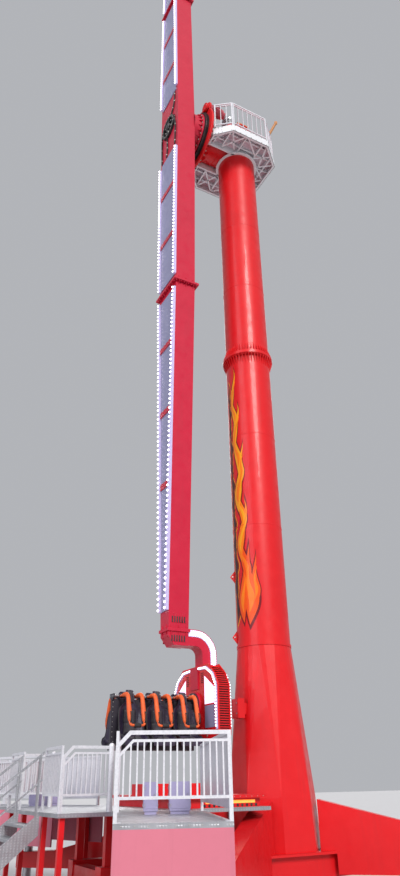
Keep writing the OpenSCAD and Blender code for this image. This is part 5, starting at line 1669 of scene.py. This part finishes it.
def base_fittings():
    """Bolts on the jack pads, and doors with their latches on the box beside the mast."""
    stock = Stock()
    lo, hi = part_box("junction_box")
    for x in (lo.x, hi.x):
        out = -1 if x == lo.x else 1
        width, height = (hi.y - lo.y) / 2 - 0.02, (hi.z - lo.z) / 2 - 0.02
        door = plate(width, height, 0.006, 0.003)
        at = facing((x, (lo.y + hi.y) / 2, (lo.z + hi.z) / 2), (out, 0, 0))
        stock.add(door, at, 1)
        for z in (-0.6 * height, 0.6 * height):
            stock.add(turned([(0.016, 0), (0.016, 0.010), (0.010, 0.014), (0, 0.014)], 12),
                      at @ shift(0.8 * width, z, 0.006))
    lo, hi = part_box("foot_pads")
    for x in (lo.x, hi.x):
        for y in (lo.y, hi.y):
            centre = Vector((x - math.copysign(PAD_TO_EDGE, x), y - math.copysign(PAD_TO_EDGE, y), 0))
            for k in range(8):
                a = math.radians(45 * k)
                spot = centre + Vector((0.26 * math.cos(a), 0.26 * math.sin(a), 0))
                stock.add(hex_bolt(0.011), shift(spot.x, spot.y, PAD_TOP))
    return stock.piece("base_fittings", "structure", "bolt red", "steel")


# stage
def floor_and_light(settings):
    """Pale floor, pale sky and soft lights of the studio."""
    mesh = bpy.data.meshes.new("studio_floor")
    reach = 90.0
    corners = [(x * reach, y * reach, -0.002) for x, y in ((-1, -1), (1, -1), (1, 1), (-1, 1))]
    mesh.from_pydata(corners, [], [(0, 1, 2, 3)])
    mesh.materials.append(FINISHES["floor"])
    ground = bpy.data.objects.new("studio_floor", mesh)
    bpy.context.scene.collection.objects.link(ground)
    bpy.context.scene.view_settings.view_transform = "Standard"
    world = bpy.data.worlds.new("studio_sky")
    world.use_nodes = True
    sky = world.node_tree.nodes["Background"]
    sky.inputs["Color"].default_value = (0.86, 0.88, 0.93, 1.0)
    sky.inputs["Strength"].default_value = settings.sky_strength
    bpy.context.scene.world = world
    for name, turn, strength, spread, hue in (
            ("key_light", (56, 0, -8), settings.key_strength, 20, (1.0, 0.97, 0.94)),
            ("fill_light", (66, 0, -75), settings.key_strength * 0.45, 40, (0.93, 0.92, 1.0)),
            ("rim_light", (58, 0, 150), settings.key_strength * 0.30, 30, (1.0, 0.98, 0.96))):
        lamp = bpy.data.lights.new(name, "SUN")
        lamp.energy = strength
        lamp.angle = math.radians(spread)
        lamp.color = hue
        held = bpy.data.objects.new(name, lamp)
        held.rotation_euler = [math.radians(a) for a in turn]
        bpy.context.scene.collection.objects.link(held)


def place_camera(view):
    """Camera at the photograph's angle, from its position, heading, rise, roll and lens."""
    lens = bpy.data.cameras.new("ride_camera")
    lens.sensor_fit = "VERTICAL"
    lens.sensor_height = 36.0
    lens.lens = view.lens
    lens.clip_end = 400.0
    camera = bpy.data.objects.new("ride_camera", lens)
    bpy.context.scene.collection.objects.link(camera)
    ahead = Vector((math.sin(view.heading) * math.cos(view.rise),
                    math.cos(view.heading) * math.cos(view.rise), math.sin(view.rise)))
    level = Vector((math.cos(view.heading), -math.sin(view.heading), 0))
    above = level.cross(ahead)
    right = level * math.cos(view.roll) - above * math.sin(view.roll)
    up = above * math.cos(view.roll) + level * math.sin(view.roll)
    camera.matrix_world = Matrix.Translation(view.place) @ Matrix((right, up, -ahead)).transposed().to_4x4()
    bpy.context.scene.camera = camera


# settings
class RideColours(bpy.types.PropertyGroup):
    paint_red: bpy.props.FloatVectorProperty(
        name="Mast Red", description="Paint of the mast, its head, the base and the shields",
        default=(0.68, 0.009, 0.013), subtype="COLOR", size=3, min=0, max=1)
    arm_red: bpy.props.FloatVectorProperty(
        name="Arm Red", description="Paint of the arm, its battens and necks",
        default=(0.55, 0.010, 0.040), subtype="COLOR", size=3, min=0, max=1)
    platform_white: bpy.props.FloatVectorProperty(
        name="Platform White", description="Paint of the platform round the mast head",
        default=(0.78, 0.79, 0.82), subtype="COLOR", size=3, min=0, max=1)
    panel_lilac: bpy.props.FloatVectorProperty(
        name="Panel Lilac", description="Paint of the panels along the arm's face",
        default=(0.27, 0.27, 0.42), subtype="COLOR", size=3, min=0, max=1)
    skirt_pink: bpy.props.FloatVectorProperty(
        name="Skirt Pink", description="Paint of the panels under the deck's edge",
        default=(0.60, 0.17, 0.23), subtype="COLOR", size=3, min=0, max=1)
    lamp_white: bpy.props.FloatVectorProperty(
        name="Lamp White", description="Light of the bulbs",
        default=(1.0, 0.93, 1.0), subtype="COLOR", size=3, min=0, max=1)
    # also sets the painted glow of the lamp channel, at a small share of this strength
    lamp_strength: bpy.props.FloatProperty(
        name="Lamp Strength", description="Brightness of the bulbs", default=3.4, min=0, max=20)
    seat_shell: bpy.props.FloatVectorProperty(
        name="Seat Shell", description="Plastic of the seat shells",
        default=(0.03, 0.022, 0.05), subtype="COLOR", size=3, min=0, max=1)
    harness_orange: bpy.props.FloatVectorProperty(
        name="Harness Orange", description="Foam and bars of the shoulder harnesses",
        default=(0.80, 0.12, 0.02), subtype="COLOR", size=3, min=0, max=1)


class RideSizes(bpy.types.PropertyGroup):
    bolt_radius: bpy.props.FloatProperty(
        name="Bolt Radius", description="Thread radius of the large flange bolts",
        default=0.015, unit="LENGTH", min=0.008, max=0.018)
    lamp_radius: bpy.props.FloatProperty(
        name="Lamp Radius", description="Radius of a bulb on the arm's edge",
        default=0.026, unit="LENGTH", min=0.012, max=0.028)
    lamp_pitch: bpy.props.FloatProperty(
        name="Lamp Pitch", description="Distance between bulbs along the arm",
        default=0.128, unit="LENGTH", min=0.08, max=0.4)
    rivet_pitch: bpy.props.FloatProperty(
        name="Rivet Pitch", description="Distance between rivets along the face panels",
        default=0.20, unit="LENGTH", min=0.05, max=0.6)


class RideStage(bpy.types.PropertyGroup):
    place: bpy.props.FloatVectorProperty(
        name="Camera Place", description="Where the camera stands",
        default=(-8.570, -12.825, 1.898), subtype="TRANSLATION", unit="LENGTH", size=3)
    heading: bpy.props.FloatProperty(
        name="Heading", description="Direction the camera looks, turned from the Y axis toward X",
        default=math.radians(28.65), subtype="ANGLE", unit="ROTATION")
    rise: bpy.props.FloatProperty(
        name="Rise", description="How far the camera looks up",
        default=math.radians(27.74), subtype="ANGLE", unit="ROTATION")
    roll: bpy.props.FloatProperty(
        name="Roll", description="How far the camera leans",
        default=math.radians(0.96), subtype="ANGLE", unit="ROTATION")
    lens: bpy.props.FloatProperty(
        name="Lens", description="Focal length for a sensor 36 mm high",
        default=26.88, unit="CAMERA", min=10, max=200)
    sky_strength: bpy.props.FloatProperty(
        name="Sky Strength", description="Brightness of the pale sky", default=0.52, min=0, max=5)
    key_strength: bpy.props.FloatProperty(
        name="Key Strength", description="Brightness of the main soft light", default=2.5, min=0, max=20)


# operators
class RIDE_OT_paint_frame(bpy.types.Operator):
    """Make the finishes and put one on every part of the frame"""
    bl_idname = "ride.paint_frame"
    bl_label = "Paint the Frame"

    def execute(self, context):
        paints(context.scene.ride_colours)
        metals()
        lights(context.scene.ride_colours)
        seat_finishes(context.scene.ride_colours)
        film_and_floor()
        left = set(frame["nodes"])
        for finish, names in NODE_FINISHES.items():
            for name in names.split():
                left.remove(name)
                for holder in frame["nodes"][name].material_slots:
                    holder.material = FINISHES[finish]
        if left:
            raise RuntimeError("No finish for " + ", ".join(sorted(left)))
        return {"FINISHED"}


class RIDE_OT_mast(bpy.types.Operator):
    """Add bolts, weld beads and the flame motif to the mast"""
    bl_idname = "ride.mast"
    bl_label = "Mast Fixings and Flames"

    def execute(self, context):
        mast_fixings(context.scene.ride_sizes.bolt_radius)
        mast_flames()
        return {"FINISHED"}


class RIDE_OT_head(bpy.types.Operator):
    """Add bolts, motor details and platform fittings to the mast head"""
    bl_idname = "ride.head"
    bl_label = "Mast Head Fittings"

    def execute(self, context):
        bolt = context.scene.ride_sizes.bolt_radius
        head_casting(bolt)
        slewing_ring(bolt)
        hub_drum(bolt)
        head_fixings()
        platform_deck()
        platform_fittings(bolt)
        lifting_pole()
        return {"FINISHED"}


class RIDE_OT_arm(bpy.types.Operator):
    """Add bolts, rivets and the hub's cap to the arm"""
    bl_idname = "ride.arm"
    bl_label = "Arm Fixings"

    def execute(self, context):
        sizes = context.scene.ride_sizes
        arm_fixings(sizes.bolt_radius)
        face_rivets(sizes.rivet_pitch)
        batten_bolts()
        hub_dressing(sizes.bolt_radius)
        return {"FINISHED"}


class RIDE_OT_lamps(bpy.types.Operator):
    """Add the rows of bulbs along the arm's edges and round its necks"""
    bl_idname = "ride.lamps"
    bl_label = "Lamps"

    def execute(self, context):
        sizes = context.scene.ride_sizes
        rail_lamps("rail_lamps_near", -1, sizes.lamp_pitch, sizes.lamp_radius)
        rail_lamps("rail_lamps_far", 1, sizes.lamp_pitch, sizes.lamp_radius)
        for half in HALVES:
            neck_lamps(half, sizes.lamp_radius * 0.55)
        return {"FINISHED"}


class RIDE_OT_shields(bpy.types.Operator):
    """Add light strips, vents and pale panels to the shields"""
    bl_idname = "ride.shields"
    bl_label = "Shield Dressing"

    def execute(self, context):
        for half in HALVES:
            shield_dressing(half)
        return {"FINISHED"}


class RIDE_OT_gondolas(bpy.types.Operator):
    """Add bolts, rivets and straps to both gondolas"""
    bl_idname = "ride.gondolas"
    bl_label = "Gondola Trim"

    def execute(self, context):
        for half in HALVES:
            gondola_trim(half)
        return {"FINISHED"}


class RIDE_OT_seats(bpy.types.Operator):
    """Model one padded bucket seat and set it in every place"""
    bl_idname = "ride.seats"
    bl_label = "Seats"

    def execute(self, context):
        shell, cushions = make_seats()
        for half in HALVES:
            for side, sign in SIDES:
                seats(half, side, sign, shell, cushions)
        return {"FINISHED"}


class RIDE_OT_harnesses(bpy.types.Operator):
    """Model one shoulder harness and set it over every seat"""
    bl_idname = "ride.harnesses"
    bl_label = "Harnesses"

    def execute(self, context):
        pads = make_harness()
        for half in HALVES:
            for side, sign in SIDES:
                harness_row(half, side, sign, pads)
        return {"FINISHED"}


class RIDE_OT_station(bpy.types.Operator):
    """Add lights, doors and screws to the boarding station and the base"""
    bl_idname = "ride.station"
    bl_label = "Station and Base Fittings"

    def execute(self, context):
        station_fittings()
        base_fittings()
        return {"FINISHED"}


class RIDE_OT_stage(bpy.types.Operator):
    """Set the floor, the lights and the camera"""
    bl_idname = "ride.stage"
    bl_label = "Stage"

    def execute(self, context):
        floor_and_light(context.scene.ride_stage)
        place_camera(context.scene.ride_stage)
        return {"FINISHED"}


class RIDE_PT_sidebar(bpy.types.Panel):
    bl_label = "Rotating Arm Ride"
    bl_idname = "RIDE_PT_sidebar"
    bl_space_type = "VIEW_3D"
    bl_region_type = "UI"
    bl_category = "Ride"

    def draw(self, context):
        scene = context.scene
        for title, group in (("Colours", scene.ride_colours), ("Sizes", scene.ride_sizes),
                             ("Stage", scene.ride_stage)):
            box = self.layout.box()
            box.label(text=title)
            for key in group.__annotations__:
                box.prop(group, key)
        column = self.layout.column(align=True)
        for operator in OPERATORS:
            column.operator(operator.bl_idname)


GROUPS = {"ride_colours": RideColours, "ride_sizes": RideSizes, "ride_stage": RideStage}
OPERATORS = (RIDE_OT_paint_frame, RIDE_OT_mast, RIDE_OT_head, RIDE_OT_arm, RIDE_OT_lamps, RIDE_OT_shields,
             RIDE_OT_gondolas, RIDE_OT_seats, RIDE_OT_harnesses, RIDE_OT_station, RIDE_OT_stage)


def register():
    for name, group in GROUPS.items():
        bpy.utils.register_class(group)
        setattr(bpy.types.Scene, name, bpy.props.PointerProperty(type=group))
    for kind in OPERATORS + (RIDE_PT_sidebar,):
        bpy.utils.register_class(kind)


def unregister():
    for kind in reversed(OPERATORS + (RIDE_PT_sidebar,)):
        bpy.utils.unregister_class(kind)
    for name, group in reversed(GROUPS.items()):
        delattr(bpy.types.Scene, name)
        bpy.utils.unregister_class(group)


def main():
    register()
    bpy.ops.ride.paint_frame()
    bpy.ops.ride.mast()
    bpy.ops.ride.head()
    bpy.ops.ride.arm()
    bpy.ops.ride.lamps()
    bpy.ops.ride.shields()
    bpy.ops.ride.gondolas()
    bpy.ops.ride.seats()
    bpy.ops.ride.harnesses()
    bpy.ops.ride.station()
    bpy.ops.ride.stage()


if __name__ == "__main__":
    main()
